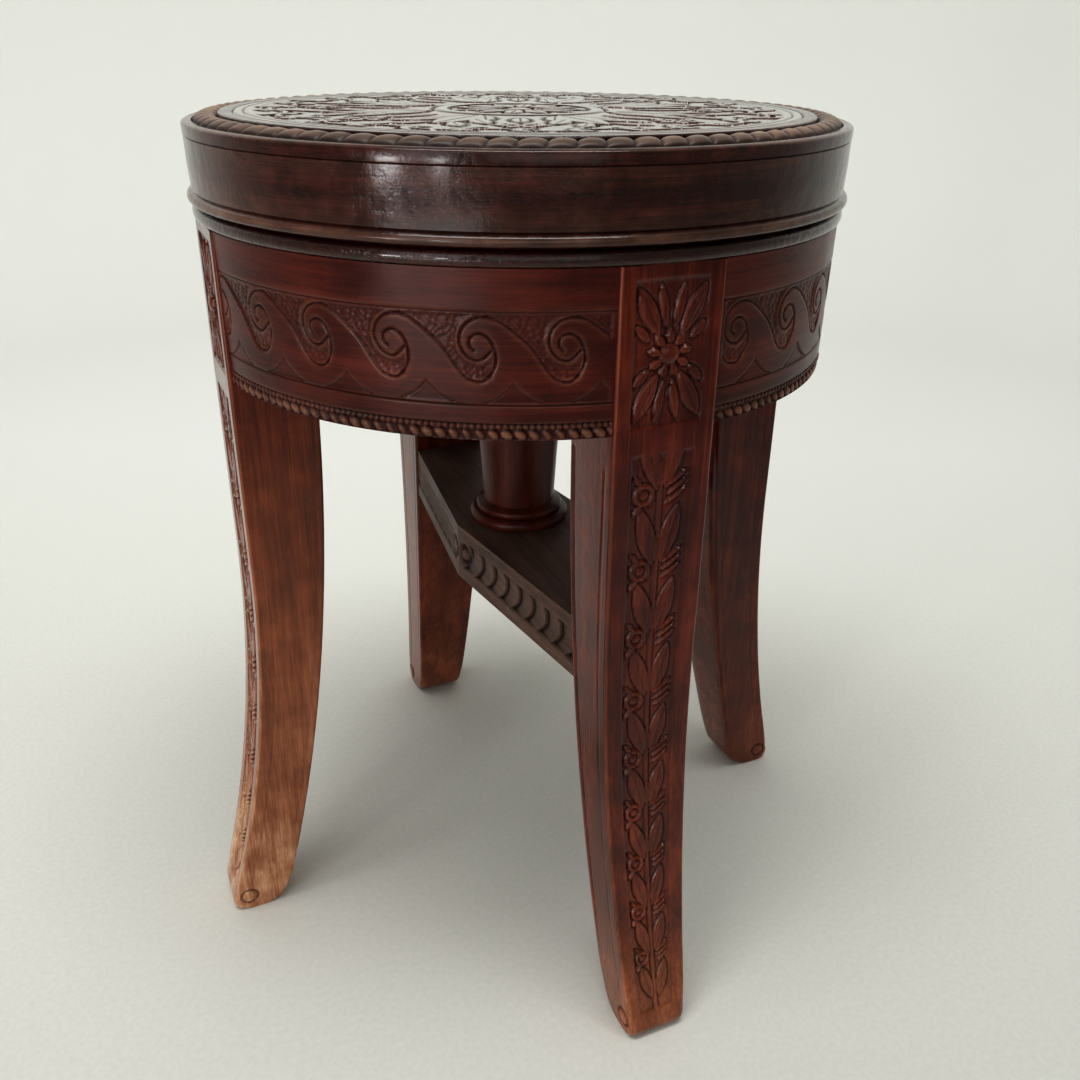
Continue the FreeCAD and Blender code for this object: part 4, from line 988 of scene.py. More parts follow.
# %% Seat hoop
seat_low, seat_high = box_mm("seat_panel")
HOOP_RADIUS = 178.5
HOOP_BOTTOM = DRUM_TOP + 0.9
SEAT_TOP = seat_high[2]
BEAD_TOP = HOOP_BOTTOM + 6.5
NOSING_TOP = SEAT_TOP - 3.6
NOSING_BOTTOM = NOSING_TOP - 6.5
ROPE_OUTER = 173.6
ROPE_INNER = 161.3
REBATE = 153.5
HOOP_BORE = 141.7
NOSING_RADIUS = 179.6
BAND_TOP_RADIUS = 179.2
BAND_FOOT_RADIUS = 178.3
hoop_mesh = spun("seat_hoop", [
    (HOOP_BORE, HOOP_BOTTOM), (HOOP_RADIUS - 1.0, HOOP_BOTTOM), (HOOP_RADIUS, HOOP_BOTTOM + 0.6),
    (HOOP_RADIUS, BEAD_TOP - 0.6, 2.4), (HOOP_RADIUS - 0.9, BEAD_TOP), (BAND_FOOT_RADIUS, BEAD_TOP + 0.7),
    (BAND_TOP_RADIUS - 0.2, (BEAD_TOP + NOSING_BOTTOM) / 2), (BAND_TOP_RADIUS, NOSING_BOTTOM - 0.4),
    (BAND_TOP_RADIUS - 0.5, NOSING_BOTTOM), (NOSING_RADIUS - 0.2, NOSING_BOTTOM + 0.4),
    (NOSING_RADIUS, NOSING_TOP - 1.6), (ROPE_OUTER + 2.2, NOSING_TOP - 0.1, 0.9),
    (ROPE_OUTER + 0.8, NOSING_TOP), (ROPE_OUTER + 0.2, SEAT_TOP - 5.0),
    (ROPE_INNER - 0.2, SEAT_TOP - 5.0), (ROPE_INNER - 0.6, SEAT_TOP - 0.5), (ROPE_INNER - 1.2, SEAT_TOP),
    (REBATE + 0.6, SEAT_TOP), (REBATE, SEAT_TOP - 0.6), (REBATE, seat_low[2]), (HOOP_BORE, seat_low[2])])
# Paler bands on the bead, the band's foot and the nosing: real knocks and rubbing, with painted highlight and
# sheen
rubbed_and_lit(hoop_mesh, [(HOOP_BOTTOM + 3.6, 3.0, 0.45), (BEAD_TOP + 3.0, 3.4, 0.6),
                   (NOSING_BOTTOM - 1.2, 1.4, 0.25), (NOSING_TOP, 1.8, 0.2)])
add_piece("turned_seat_hoop", hoop_mesh, hoop_wood, "seat", ["seat_hoop"], crease=35.0)
print(f"hoop {2 * HOOP_RADIUS:.0f} mm across and {SEAT_TOP - HOOP_BOTTOM:.1f} mm deep")

# %% [markdown]
# ## The rope border
# Round the hoop's top edge runs a rope of fat, short strands that lean a little. Each strand could be
# a bead of its own, but beads would leave gaps. So the rope is one sheet wound round the axis and
# swollen strand by strand, with a deep cleft between each strand and the next.

# %% Rope border
STRANDS = 86
STRAND_COLUMNS = 20
ROPE_ROWS = 18
ROPE_LEAN = 0.14
ROPE_INNER_CREST = SEAT_TOP - 1.4
ROPE_OUTER_CREST = SEAT_TOP - 1.8
ROPE_CROWN = 1.6
ROPE_CLEFT = 2.6
ROPE_SUNK = 2.8
ROPE_WEAR = 0.15


def rope_shape(s, t):
    """Where the sheet goes on the rope: s runs round the seat and t round the rope's section."""
    around = math.tau * t
    across = np.cos(around)
    strand = (s * STRANDS + ROPE_LEAN * across) % 1
    swell = np.sqrt(np.clip(1 - (2 * strand - 1) ** 2, 0, 1)) ** 0.7
    upper = np.clip(np.sin(around), 0, None)
    chord = np.interp(across, (-1, 1), (ROPE_INNER_CREST, ROPE_OUTER_CREST))
    crest = chord + ROPE_CROWN * (1 - across ** 2) - ROPE_CLEFT * (1 - swell)
    low = chord - ROPE_SUNK
    z = np.where(upper > 0, low + (crest - low) * upper ** 0.45, low - 0.2)
    radius = np.interp(across, (-1, 1), (ROPE_INNER, ROPE_OUTER))
    angle = math.tau * s
    places = np.column_stack([radius * np.cos(angle), radius * np.sin(angle), z])
    return places, ROPE_CLEFT * swell * upper, ROPE_WEAR * upper * swell


rope_mesh = carved_sheet("rope", STRANDS * STRAND_COLUMNS, ROPE_ROWS, rope_shape)
add_piece("carved_rope_border", rope_mesh, rope_wood, "seat")
print(f"rope of {STRANDS} strands, {math.tau * ROPE_OUTER / STRANDS:.1f} mm each")

# %% [markdown]
# ## The carved seat panel
# The panel let into the hoop is carved all over in low relief with flat, worn tops. A cut follows every
# outline and the ground rises again between the forms, so from a low angle the panel is a pale mirror
# with dark lines in it. The design is a plain arrangement of stock ornament: a rosette, a beaded ring,
# eight leaf sprays, blossoms between them and a waving stem with small leaves round the edge. A grid of
# rings would crowd its points in the middle. So the square grid is drawn into a disc by a map that
# keeps its squares nearly square, then a skirt closes it.

# %% Seat panel
PANEL_RADIUS = seat_high[0]
PANEL_CELLS = 290
FIELD_DEPTH = 1.9
SEAT_GROUND = 0.4
SEAT_CUT = 2.0
FIELD_RADIUS = 144.0
FIELD_SLOPE = 1.4
FIELD_GOUGE = 0.03
SEAT_PROUD = -0.05
BORDER_LINE = FIELD_RADIUS + 4.0
BORDER_CUT = (1.4, 0.8)
EDGE_DROP = 0.8
ROSETTE_PETALS = 12
RING_RADIUS = 43.0
RING_BEADS = 44
SPRAYS = 8
# Leaves of half a spray: foot, tip, width, rise and depth of the vein
SPRAY_LEAVES = (((3.0, 54.0), (17.0, 84.0), 10.5, 2.6, 1.4),
                ((6.0, 74.0), (25.0, 101.0), 11.5, 2.6, 1.4),
                ((5.0, 96.0), (18.0, 118.0), 10.0, 2.6, 1.3))
BLOSSOM_RADIUS = 108.0
BLOSSOM_PETALS = 6
WAVE_RADIUS = 131.0
WAVE_SWING = 4.5


def folded(turn, copies):
    """Angle from the middle of the nearest of some equal sectors."""
    sector = math.tau / copies
    return (turn + sector / 2) % sector - sector / 2


def seat_relief(x, y, spare):
    """Low relief of the seat, up from its deepest cuts, with spare wood round each form."""
    reach = np.hypot(x, y)
    turn = np.arctan2(y, x)
    parts = [ball(x, y, (0, 0), 8.0 + spare, 2.6)]
    petal = folded(turn, ROSETTE_PETALS)
    u, v = reach * np.sin(petal), reach * np.cos(petal)
    parts.append(leaf(u, v, (0, 9.0), (0, 36.0), 11.0, 2.7, 1.5, spare))
    parts.append(1.9 * ramp_between(4.0 + spare, 3.2 + spare, np.abs(reach - RING_RADIUS)))
    bead = folded(turn, RING_BEADS)
    parts.append(2.1 * ramp_between(3.0, 1.6, np.hypot(reach * np.sin(bead), reach - RING_RADIUS)))
    spray = folded(turn, SPRAYS)
    u, v = reach * np.sin(spray), reach * np.cos(spray)
    parts.append(leaf(u, v, (0, 51.0), (0, 108.0), 18.0, 2.7, 1.6, spare))
    for side in (-1, 1):
        for foot, tip, width, rise, vein in SPRAY_LEAVES:
            foot, tip = (side * foot[0], foot[1]), (side * tip[0], tip[1])
            parts.append(leaf(u, v, foot, tip, width, rise, vein, spare))
    blossom = folded(turn + math.pi / SPRAYS, SPRAYS)
    u, v = reach * np.sin(blossom), reach * np.cos(blossom) - BLOSSOM_RADIUS
    for number in range(BLOSSOM_PETALS):
        swing = math.radians(360 / BLOSSOM_PETALS * number + 30)
        away = np.array([math.sin(swing), math.cos(swing)])
        parts.append(leaf(u, v, away * 2.5, away * 12.5, 7.2, 2.5, 1.0, spare))
    parts.append(ball(u, v, (0, 0), 3.4, 2.6))
    parts.append(leaf(u, v, (0, -14.0), (0, -46.0), 10.0, 2.6, 1.4, spare))
    wave = WAVE_RADIUS + WAVE_SWING * np.sin(SPRAYS * 2 * turn)
    parts.append(1.9 * ramp_between(2.2 + spare, 1.2 + spare, np.abs(reach - wave)))
    sprig = folded(turn, SPRAYS * 4)
    u, v = reach * np.sin(sprig), reach - wave
    for side in (-1, 1):
        parts.append(leaf(u, v, (-5.0, side * 1.0), (6.0, side * 9.5), 7.5, 2.5, 1.0, spare))
    return np.max(parts, axis=0)


def seat_shape(s, t):
    """Where the square sheet goes on the round panel."""
    a, b = 2 * s - 1, 2 * t - 1
    wide = np.abs(a) >= np.abs(b)
    longer, shorter = np.where(wide, a, b), np.where(wide, b, a)
    swing = np.divide(shorter, longer, out=np.zeros_like(a), where=longer != 0) * math.pi / 4
    along, aside = PANEL_RADIUS * longer * np.cos(swing), PANEL_RADIUS * longer * np.sin(swing)
    x, y = np.where(wide, along, aside), np.where(wide, aside, along)
    reach = np.hypot(x, y)
    carved = outlined(seat_relief, x, y, FIELD_DEPTH, SEAT_GROUND, SEAT_CUT)
    carved = np.minimum(carved + FIELD_GOUGE * tool_marks(x, y, 2.2), SEAT_PROUD)
    height = carved * ramp_between(FIELD_RADIUS, FIELD_RADIUS - FIELD_SLOPE, reach)
    height = np.minimum(height, groove(np.abs(reach - BORDER_LINE), *BORDER_CUT))
    height = height - EDGE_DROP * ramp_between(PANEL_RADIUS - 1.0, PANEL_RADIUS, reach)
    return np.column_stack([x, y, SEAT_TOP + height]), height, np.zeros_like(x)


def with_skirt(mesh, depth):
    """Draw the edge of an open sheet down by a depth and close it underneath."""
    bm = bmesh.new()
    bm.from_mesh(mesh)
    flat = [face for face in bm.faces if len(face.verts) > 4]
    bmesh.ops.delete(bm, geom=flat, context="FACES_ONLY")
    rim = [edge for edge in bm.edges if edge.is_boundary]
    drawn = bmesh.ops.extrude_edge_only(bm, edges=rim)["geom"]
    for vert in (item for item in drawn if isinstance(item, bmesh.types.BMVert)):
        vert.co.z = (SEAT_TOP - depth) * MM
    bmesh.ops.holes_fill(bm, edges=[edge for edge in bm.edges if edge.is_boundary], sides=0)
    bmesh.ops.recalc_face_normals(bm, faces=bm.faces)
    bm.to_mesh(mesh)
    bm.free()
    return mesh


seat_sheet = carved_sheet("seat_panel", PANEL_CELLS, PANEL_CELLS, seat_shape, dirty_at=1.3, rubbed_at=3.0)
seat_mesh = with_skirt(seat_sheet, SEAT_TOP - seat_low[2])
add_piece("carved_seat_panel", seat_mesh, panel_wood, "seat", ["seat_panel"])
print(f"seat panel of {len(seat_mesh.polygons)} faces")

# %% [markdown]
# ## The column
# The hollow column that the screw runs down into tapers from the drum to a neck, where a ring and a
# fatter torus meet the stretcher. It is tenoned through the stretcher and wedged from below. Cones and
# rings could be stacked for it, but it is turned work too, so the lathe helper spins it. The wedge is a
# plain block.

# %% Column
column_high = box_mm("column")[1]
stretcher_low, stretcher_high = box_mm("stretcher")
STRETCHER_TOP = stretcher_high[2]
TORUS_RADIUS = 28.5
TORUS_TOP = STRETCHER_TOP + 7.5
NECK_RING = 25.5
RING_TOP = TORUS_TOP + 5.0
# Radius of the shaft at heights over the ring
SHAFT = ((22.5, 1.5), (24.2, 32.0), (28.0, 84.0))
SHAFT_TOP = 36.0
TENON_RADIUS = 15.0
TENON_END = stretcher_low[2] - 0.4
COLUMN_BORE = 13.0
BORE_FLOOR = 263.3
WEDGE_PROUD = 1.0
column_mesh = spun("column", [
    (0.0, TENON_END), (TENON_RADIUS, TENON_END), (TENON_RADIUS, STRETCHER_TOP),
    (TORUS_RADIUS, STRETCHER_TOP), (TORUS_RADIUS, TORUS_TOP, 3.0),
    (NECK_RING, TORUS_TOP), (NECK_RING, RING_TOP, 2.0),
    *[(radius, RING_TOP + rise) for radius, rise in SHAFT],
    (SHAFT_TOP, column_high[2]), (COLUMN_BORE, column_high[2]),
    (COLUMN_BORE, BORE_FLOOR), (0.0, BORE_FLOOR)], steps=120)
add_piece("turned_column", column_mesh, column_wood, "base", ["column"], crease=40.0)
wedge_low, wedge_high = box_mm("column_wedge")
wedge_middle = Vector((wedge_low + wedge_high) / 2 * MM) - Vector((0, 0, WEDGE_PROUD * MM))
wedge_size = Vector((wedge_high - wedge_low) * MM)
bm = bmesh.new()
bmesh.ops.create_cube(bm, size=1.0, matrix=Matrix.LocRotScale(wedge_middle, None, wedge_size))
wedge_mesh = mesh_from(bm, "wedge")
add_piece("driven_wedge", wedge_mesh, plain_wood, "base", ["column_wedge"])
print(f"column {column_high[2] - STRETCHER_TOP:.1f} mm tall over the stretcher")

# %% [markdown]
# ## The stretcher
# A lozenge-shaped board joins the front and back legs and carries the column. Its edges are carved:
# between two plain strips runs a row of overlapping crescents that start at a round scroll in the
# middle and lean towards the legs. Its ends are cut to the curve of the legs. The edges could be carved
# as strips and joined to a board, but one sheet that walks round the board has no seams. A step of the
# walk names its columns, the place across where it ends and how far that is on the way to a leg.

# %% Stretcher
STRETCHER_ROWS = 44
STRETCHER_MIDDLE = stretcher_high[0]
STRETCHER_END = 25.0
STRETCHER_WALK = ((180, STRETCHER_END, 1), (6, -STRETCHER_END, 1), (180, -STRETCHER_MIDDLE, 0),
                  (180, -STRETCHER_END, -1), (6, STRETCHER_END, -1), (180, STRETCHER_MIDDLE, 0))
STRETCHER_COLUMNS = sum(run[0] for run in STRETCHER_WALK)
STRETCHER_THICK = STRETCHER_TOP - stretcher_low[2]
STRIP = 8.0
CRESCENTS = 8
CRESCENT_START = 15.0
CRESCENT_DEPTH = 2.6
CRESCENT_BEND = 0.42
CRESCENT_LEAN = 0.22
SCROLL_EYE = 8.0
BAND_DEPTH = 0.35
TOP_WEAR = 0.25
BOTTOM_WEAR = 0.15
END_GAP = 0.1


def edge_carving(along, rise, length):
    """Crescents and a scroll on the edge, by the distance from the middle and the share of the height."""
    inside = np.minimum(rise * STRETCHER_THICK - STRIP, (1 - rise) * STRETCHER_THICK - STRIP)
    band = ramp_between(0.0, 1.2, inside)
    level = (rise - 0.5) * 2 * STRETCHER_THICK / (STRETCHER_THICK - 2 * STRIP)
    pitch = (length - CRESCENT_START) / CRESCENTS
    phase = (along - CRESCENT_START) / pitch + CRESCENT_BEND * level ** 2 - CRESCENT_LEAN * level
    part = phase % 1
    crescent = -CRESCENT_DEPTH * (1 - part ** 0.6) * ramp_between(1.0, 0.93, part)
    scroll = np.hypot(along - SCROLL_EYE, level * (STRETCHER_THICK / 2 - STRIP))
    eye = -CRESCENT_DEPTH * ramp_between(3.0, 4.2, scroll) * ramp_between(8.5, 6.0, scroll)
    return np.where(phase > 0.02, crescent, eye) * band - BAND_DEPTH * band


def stretcher_shape(s, t):
    """Where the sheet goes on the stretcher: s walks round its outline and t rises up its edge."""
    stops = np.cumsum([0] + [run[0] for run in STRETCHER_WALK]) / STRETCHER_COLUMNS
    x = np.interp(s, stops, [STRETCHER_MIDDLE] + [run[1] for run in STRETCHER_WALK])
    share = np.interp(s, stops, [0.0] + [run[2] for run in STRETCHER_WALK])
    z = stretcher_low[2] + t * STRETCHER_THICK
    end = leg_outlines(z)[1] - END_GAP
    y = share * end
    on_side = np.abs(share) < 1
    height = np.where(on_side, edge_carving(np.abs(y), t, end.mean()), 0.0)
    x = x + np.where(on_side, np.sign(x) * height, 0.0)
    wear = TOP_WEAR * ramp_between(0.93, 0.99, t) + BOTTOM_WEAR * ramp_between(0.05, 0.0, t)
    return np.column_stack([x, y, z]), height, wear


stretcher_mesh = carved_sheet("stretcher", STRETCHER_COLUMNS, STRETCHER_ROWS, stretcher_shape,
                              dirty_at=0.7, rubbed_at=2.6)
add_piece("carved_stretcher", stretcher_mesh, stretcher_wood, "base", ["stretcher"])
print(f"stretcher of {len(stretcher_mesh.polygons)} faces")

# %% [markdown]
# ## The lifting screw
# The seat rises on an iron screw. The rod is turned on the lathe helper, and the thread is one ridge
# swept up the rod: a small flat-topped section spun many times round while it climbs one pitch a turn.
# A screw modifier could do that too, but bmesh.ops.spin leaves nothing to apply afterwards.

# %% Screw spindle
rod_low, rod_high = box_mm("screw_spindle")
THREAD_PITCH = 6.0
THREAD_OUTER = 12.0
THREAD_ROOT = 9.6
COLLAR_BOTTOM = 455.3
COLLAR_TOP = COLLAR_BOTTOM + 4.0
COLLAR_RADIUS = rod_high[0]
RIVET_RADIUS = 9.0
FLANGE_BOTTOM = rod_high[2] - 5.0
EASED = 0.6
STEPS_A_TURN = 40


def thread_ridge(bm, start, turns):
    """Add a helical ridge that climbs the rod from a height."""
    section = ((THREAD_ROOT - 0.4, 0.4), (THREAD_OUTER - 0.3, 1.5), (THREAD_OUTER, 1.8), (THREAD_OUTER, 3.4),
               (THREAD_OUTER - 0.3, 3.7), (THREAD_ROOT - 0.4, 4.8))
    verts = [bm.verts.new((radius * MM, 0, (start + rise) * MM)) for radius, rise in section]
    cap = bm.faces.new(verts)
    steps = int(turns * STEPS_A_TURN)
    bmesh.ops.spin(bm, geom=[cap], cent=(0, 0, 0), axis=(0, 0, 1), angle=math.tau * turns, steps=steps,
                   dvec=(0, 0, THREAD_PITCH * MM / STEPS_A_TURN))


spindle_mesh = spun("screw_spindle", [
    (0.0, rod_low[2]), (THREAD_ROOT - 2.0, rod_low[2]), (THREAD_ROOT, rod_low[2] + 2.0),
    (THREAD_ROOT, COLLAR_BOTTOM - 4.0), (THREAD_OUTER, COLLAR_BOTTOM - 2.0), (THREAD_OUTER, COLLAR_BOTTOM),
    (COLLAR_RADIUS - EASED, COLLAR_BOTTOM), (COLLAR_RADIUS, COLLAR_BOTTOM + EASED),
    (COLLAR_RADIUS, COLLAR_TOP - EASED), (COLLAR_RADIUS - EASED, COLLAR_TOP),
    (THREAD_OUTER, COLLAR_TOP), (THREAD_OUTER, FLANGE_BOTTOM), (RIVET_RADIUS, FLANGE_BOTTOM),
    (RIVET_RADIUS, rod_high[2]), (0.0, rod_high[2])], steps=64)
bm = bmesh.new()
bm.from_mesh(spindle_mesh)
thread_ridge(bm, rod_low[2] + 1.0, (COLLAR_BOTTOM - rod_low[2] - 8.0) / THREAD_PITCH)
bmesh.ops.recalc_face_normals(bm, faces=bm.faces)
bm.to_mesh(spindle_mesh)
bm.free()
add_piece("threaded_spindle", spindle_mesh, iron, "seat", ["screw_spindle"], crease=30.0)
print(f"spindle with {(COLLAR_BOTTOM - rod_low[2]) / THREAD_PITCH:.0f} turns of thread")

# %% [markdown]
# ## Slotted screws
# The screws that hold the nut, the flange, the drum top and the bearer show when the seat is raised
# or turned over. Each head is a short cone with a slot sawn across it. The slot could be cut with a
# boolean, but two planes that split the head and one step down leave cleaner faces.

# %% Slotted screws
HEAD_RADIUS = 4.8
SHANK_RADIUS = 2.4
HEAD_DEPTH = 2.8
SLOT_WIDTH = 1.1
SLOT_DEPTH = 1.0
FIRST_SLOT = 0.7
SLOT_STEP = 1.9
# Node, distance from the axis, number of screws, whether the heads face up, and body
SCREW_RINGS = (("drum_top_screws", (LEG_OUTER + LEG_INNER) / 2, 4, True, "base"),
               ("nut_screws", 33.0, 4, True, "base"),
               ("flange_screws", 38.0, 4, False, "seat"),
               ("bearer_screws", 100.0, 2, False, "seat"))


def slotted_screw(bm, place, up, length, slot_turn):
    """Add a countersunk screw whose head's top lies at a place and faces up or down."""
    made = bmesh.ops.create_cone(bm, cap_ends=True, segments=20, radius1=SHANK_RADIUS, radius2=HEAD_RADIUS,
                                 depth=HEAD_DEPTH, matrix=Matrix.Translation((0, 0, -HEAD_DEPTH / 2)))
    verts = list(made["verts"])
    for edge_place in (-SLOT_WIDTH / 2, SLOT_WIDTH / 2):
        geom = verts + list({edge for vert in verts for edge in vert.link_edges})
        geom += list({face for vert in verts for face in vert.link_faces})
        cut = bmesh.ops.bisect_plane(bm, geom=geom, plane_co=(edge_place, 0, 0), plane_no=(1, 0, 0))
        verts = list({item for item in cut["geom"] if isinstance(item, bmesh.types.BMVert)})
    slot = [face for face in {face for vert in verts for face in vert.link_faces}
            if face.normal.z > 0.9 and abs(face.calc_center_median().x) < SLOT_WIDTH / 2]
    sunk = bmesh.ops.extrude_face_region(bm, geom=slot)["geom"]
    bmesh.ops.delete(bm, geom=slot, context="FACES_ONLY")
    floor = [item for item in sunk if isinstance(item, bmesh.types.BMVert)]
    for vert in floor:
        vert.co.z -= SLOT_DEPTH
        vert.co.x *= 0.98
    shank = bmesh.ops.create_cone(bm, cap_ends=True, segments=14, radius1=SHANK_RADIUS * 0.5,
                                  radius2=SHANK_RADIUS, depth=length - HEAD_DEPTH,
                                  matrix=Matrix.Translation((0, 0, -(length + HEAD_DEPTH) / 2)))
    everything = list({*verts, *floor, *shank["verts"]})
    turned = Matrix.Rotation(0.0 if up else math.pi, 4, "X") @ Matrix.Rotation(slot_turn, 4, "Z")
    bmesh.ops.transform(bm, matrix=Matrix.Scale(MM, 4) @ Matrix.Translation(place) @ turned, verts=everything)


def screw_ring(node, distance, count, up, body):
    """Replace a node of screws in a ring by slotted ones."""
    low, high = box_mm(node)
    bm = bmesh.new()
    for number in range(count):
        turn = math.tau * number / count
        head = high[2] if up else low[2]
        place = (distance * math.cos(turn), distance * math.sin(turn), head)
        slotted_screw(bm, place, up, high[2] - low[2], FIRST_SLOT + SLOT_STEP * number)
    bmesh.ops.recalc_face_normals(bm, faces=bm.faces)
    add_piece(f"slotted_{node}", mesh_from(bm, node), steel, body, [node], crease=30.0)


for ring in SCREW_RINGS:
    screw_ring(*ring)
print(sum(ring[2] for ring in SCREW_RINGS), "slotted screws")

# %% [markdown]
# ## Nodes that keep their own shape
# The hidden joinery and the plain fittings are right as the frame has them. They could be modelled
# again, but nothing would be gained, so they keep their meshes and only get their finish.

# %% Finishes of the kept nodes
KEPT = {"seat_bearer": plain_wood, "apron_dowels": plain_wood,
        "screw_nut": brass, "seat_flange": iron, "thrust_washer": leather}
for side in LEG_TURNS:
    KEPT[f"glue_block_{side}_left"] = plain_wood
    KEPT[f"glue_block_{side}_right"] = plain_wood
for node, material in KEPT.items():
    mesh = nodes[node].data
    mesh.materials.clear()
    mesh.materials.append(material)
print(f"{len(KEPT)} nodes kept")

# %% [markdown]
# ## Floor and backdrop
# A pale floor sweeps up into a round backdrop far from the stool, so no corner shows from any side. A
# plane and a wall would meet in a hard line, so one profile is spun instead. Far in front it is painted
# grey: painted shade that stands in for a dim room, which the polish mirrors.

# %% Floor
# The room is measured in metres
FLOOR_RADIUS = 1.5
COVE_RADIUS = 0.6
WALL_HEIGHT = 2.6
FLOOR_WELD = 0.0001
# A mat's own threads are about 1 mm wide, too fine to show, so its mottling is drawn coarser
CLOTH_GRAIN = 3.5
FRONT = (-0.41, -0.91, 0.0)
# Far in front the mat turns grey, painted shade for a dim room that the polish mirrors
PAINTED_SHADE_FROM = 1.4
PAINTED_SHADE_TO = 2.1
WHITE_FROM = -0.15
WHITE_TO = -0.75


def pale_floor(name):
    """A pale, matt mat, lightest behind the stool, and greyed far in front by painted shade for a dim room.
    """
    material, tree, shader = new_material(name)
    place = add_node(tree, "ShaderNodeTexCoord").outputs["Object"]
    mottle = add_node(tree, "ShaderNodeTexNoise", {"Vector": place, "Scale": 1 / (MM * CLOTH_GRAIN),
                                                   "Detail": 4.0})
    pale = add_node(tree, "ShaderNodeMix", {"Factor": mottle.outputs["Fac"], "A": linear("#cdcdc7"),
                                            "B": linear("#dcdcd7")}, data_type="RGBA")
    forwards = add_node(tree, "ShaderNodeVectorMath", {0: place, 1: FRONT}, operation="DOT_PRODUCT")
    behind = add_node(tree, "ShaderNodeMapRange", {"Value": forwards.outputs["Value"], "From Min": WHITE_FROM,
                                                   "From Max": WHITE_TO})
    wall = add_node(tree, "ShaderNodeMix", {"Factor": behind.outputs["Result"], "A": pale.outputs["Result"],
                                            "B": linear("#dddeda")}, data_type="RGBA")
    away = add_node(tree, "ShaderNodeVectorMath", {0: place}, operation="LENGTH")
    reach = add_node(tree, "ShaderNodeMath", {0: forwards.outputs["Value"], 1: away.outputs["Value"]})
    dim_room_shade = add_node(tree, "ShaderNodeMapRange", {"Value": reach.outputs["Value"], "From Min": PAINTED_SHADE_FROM,
                                                "From Max": PAINTED_SHADE_TO})
    colour = add_node(tree, "ShaderNodeMix", {"Factor": dim_room_shade.outputs["Result"], "A": wall.outputs["Result"],
                                              "B": linear("#b0afab")}, data_type="RGBA")
    fill(tree, shader, {"Base Color": colour.outputs["Result"], "Roughness": 0.9})
    return material


bm = bmesh.new()
sweep = [(FLOOR_RADIUS + COVE_RADIUS * math.sin(turn), COVE_RADIUS * (1 - math.cos(turn)))
         for turn in np.linspace(0, math.pi / 2, 12)]
outline = [(0.0, 0.0)] + sweep + [(FLOOR_RADIUS + COVE_RADIUS, WALL_HEIGHT)]
verts = [bm.verts.new((radius, 0, height)) for radius, height in outline]
edges = [bm.edges.new(pair) for pair in zip(verts, verts[1:])]
bmesh.ops.spin(bm, geom=verts + edges, cent=(0, 0, 0), axis=(0, 0, 1), angle=math.tau, steps=96,
               use_merge=True)
bmesh.ops.remove_doubles(bm, verts=bm.verts, dist=FLOOR_WELD)
bmesh.ops.recalc_face_normals(bm, faces=bm.faces)
floor_mesh = mesh_from(bm, "floor")
floor_mesh.shade_smooth()
# Matt and nearly white, so that it takes a soft shadow
floor_mesh.materials.append(pale_floor("floor_pale_mat"))
floor = bpy.data.objects.new("floor", floor_mesh)
bpy.context.scene.collection.objects.link(floor)
print(f"floor and cove {2 * (FLOOR_RADIUS + COVE_RADIUS):.1f} m across")

# %% [markdown]
# ## Light
# Soft light comes from a tall panel on the left in front, like a window, with two narrow brighter panes
# in it that the polish mirrors. A broad dim panel in front greys the polish there, a low one near the
# floor lends the apron its sheen, a weak one stands on the right, and one lights the backdrop. Point
# lights could give the same brightness, but polish mirrors a light's shape, so panels are used.

# %% Lights
STOOL_MIDDLE = (0.0, 0.0, 0.35)
BACKDROP = (0.5, 2.0, 0.9)
# Name, place, the point that it faces, width and height in metres, and power in watts
LIGHTS = (("window_left", (-1.26, -0.985, 0.95), STOOL_MIDDLE, (0.7, 1.4), 5.2),
          ("backdrop_light", (-0.2, -0.2, 2.3), BACKDROP, (1.6, 1.0), 50.0),
          ("window_pane_left", (-1.32, -0.70, 0.37), STOOL_MIDDLE, (0.16, 0.20), 2.4),
          ("window_pane_right", (-1.08, -1.04, 0.37), STOOL_MIDDLE, (0.09, 0.20), 1.1),
          ("front_glow", (-0.45, -1.65, 0.8), STOOL_MIDDLE, (1.1, 1.1), 3.2),
          ("window_right", (1.6, -0.3, 1.2), STOOL_MIDDLE, (0.5, 1.2), 0.25),
          ("low_glow", (-1.02, -0.88, 0.09), STOOL_MIDDLE, (0.75, 0.16), 1.1))
ROOM_LIGHT = 0.58
PICTURE_GAMMA = 0.78


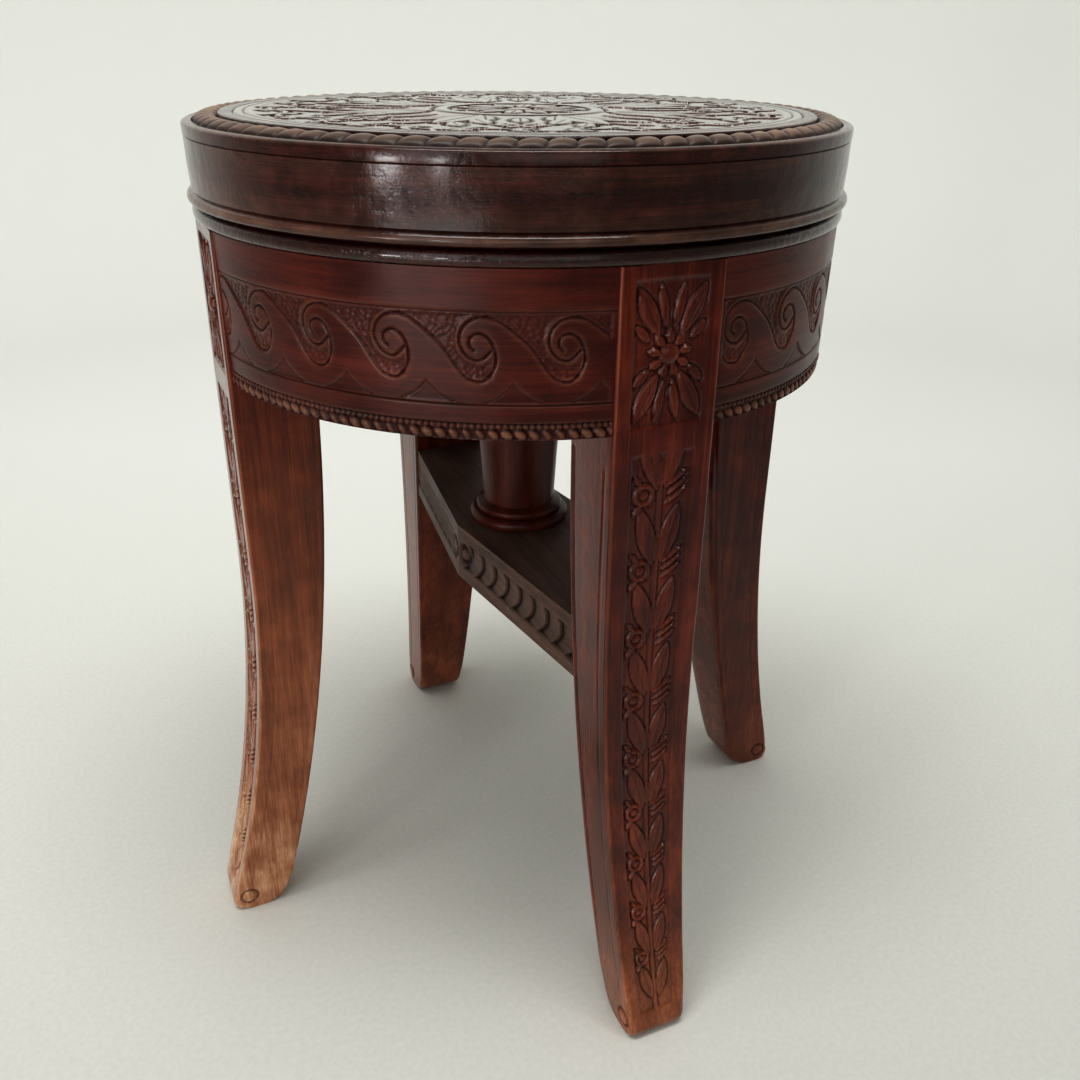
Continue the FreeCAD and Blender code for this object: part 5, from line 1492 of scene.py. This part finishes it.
def soft_panel(name, place, target, size, power):
    """A rectangular area light that faces a point."""
    lamp = bpy.data.lights.new(name, "AREA")
    lamp.shape = "RECTANGLE"
    lamp.size, lamp.size_y = size
    lamp.energy = power
    panel = bpy.data.objects.new(name, lamp)
    bpy.context.scene.collection.objects.link(panel)
    panel.location = place
    panel.rotation_euler = (Vector(target) - Vector(place)).to_track_quat("-Z", "Y").to_euler()


for light in LIGHTS:
    soft_panel(*light)
world = bpy.data.worlds.new("pale_room")
world.use_nodes = True
room = world.node_tree.nodes["Background"]
fill(world.node_tree, room, {"Color": linear("#f2f3f0"), "Strength": ROOM_LIGHT})
bpy.context.scene.world = world
bpy.context.scene.view_settings.view_transform = "Standard"
bpy.context.scene.view_settings.gamma = PICTURE_GAMMA
print(len(LIGHTS), "soft lights and a pale world")

# %% [markdown]
# ## Camera
# The camera stands where the photograph was taken from: a little to the left of the front leg, above
# the seat and looking down. It could be aimed by eye, but its place and angles were found by matching
# the seat's rim and the feet, so that the two pictures can be laid over each other.

# %% Camera
CAMERA_DISTANCE = 0.6312
CAMERA_HEIGHT = 0.5360
CAMERA_TURN = -22.96
CAMERA_PITCH = 0.453
CAMERA_ROLL = 0.011
CAMERA_YAW = 0.0224
CAMERA_LENS = 35.343
ahead = math.cos(CAMERA_PITCH)
forward = Vector((math.sin(CAMERA_YAW) * ahead, math.cos(CAMERA_YAW) * ahead, -math.sin(CAMERA_PITCH)))
level = Vector((math.cos(CAMERA_YAW), -math.sin(CAMERA_YAW), 0))
upward = level.cross(forward)
right = math.cos(CAMERA_ROLL) * level + math.sin(CAMERA_ROLL) * upward
upward = right.cross(forward)
stand = Matrix((right, upward, -forward)).transposed().to_4x4()
stand.translation = (0, -CAMERA_DISTANCE, CAMERA_HEIGHT)
lens = bpy.data.cameras.new("camera")
lens.lens = CAMERA_LENS
camera = bpy.data.objects.new("camera", lens)
bpy.context.scene.collection.objects.link(camera)
camera.matrix_world = Matrix.Rotation(math.radians(CAMERA_TURN), 4, "Z") @ stand
bpy.context.scene.camera = camera
print("camera at", [round(part, 3) for part in camera.matrix_world.translation])
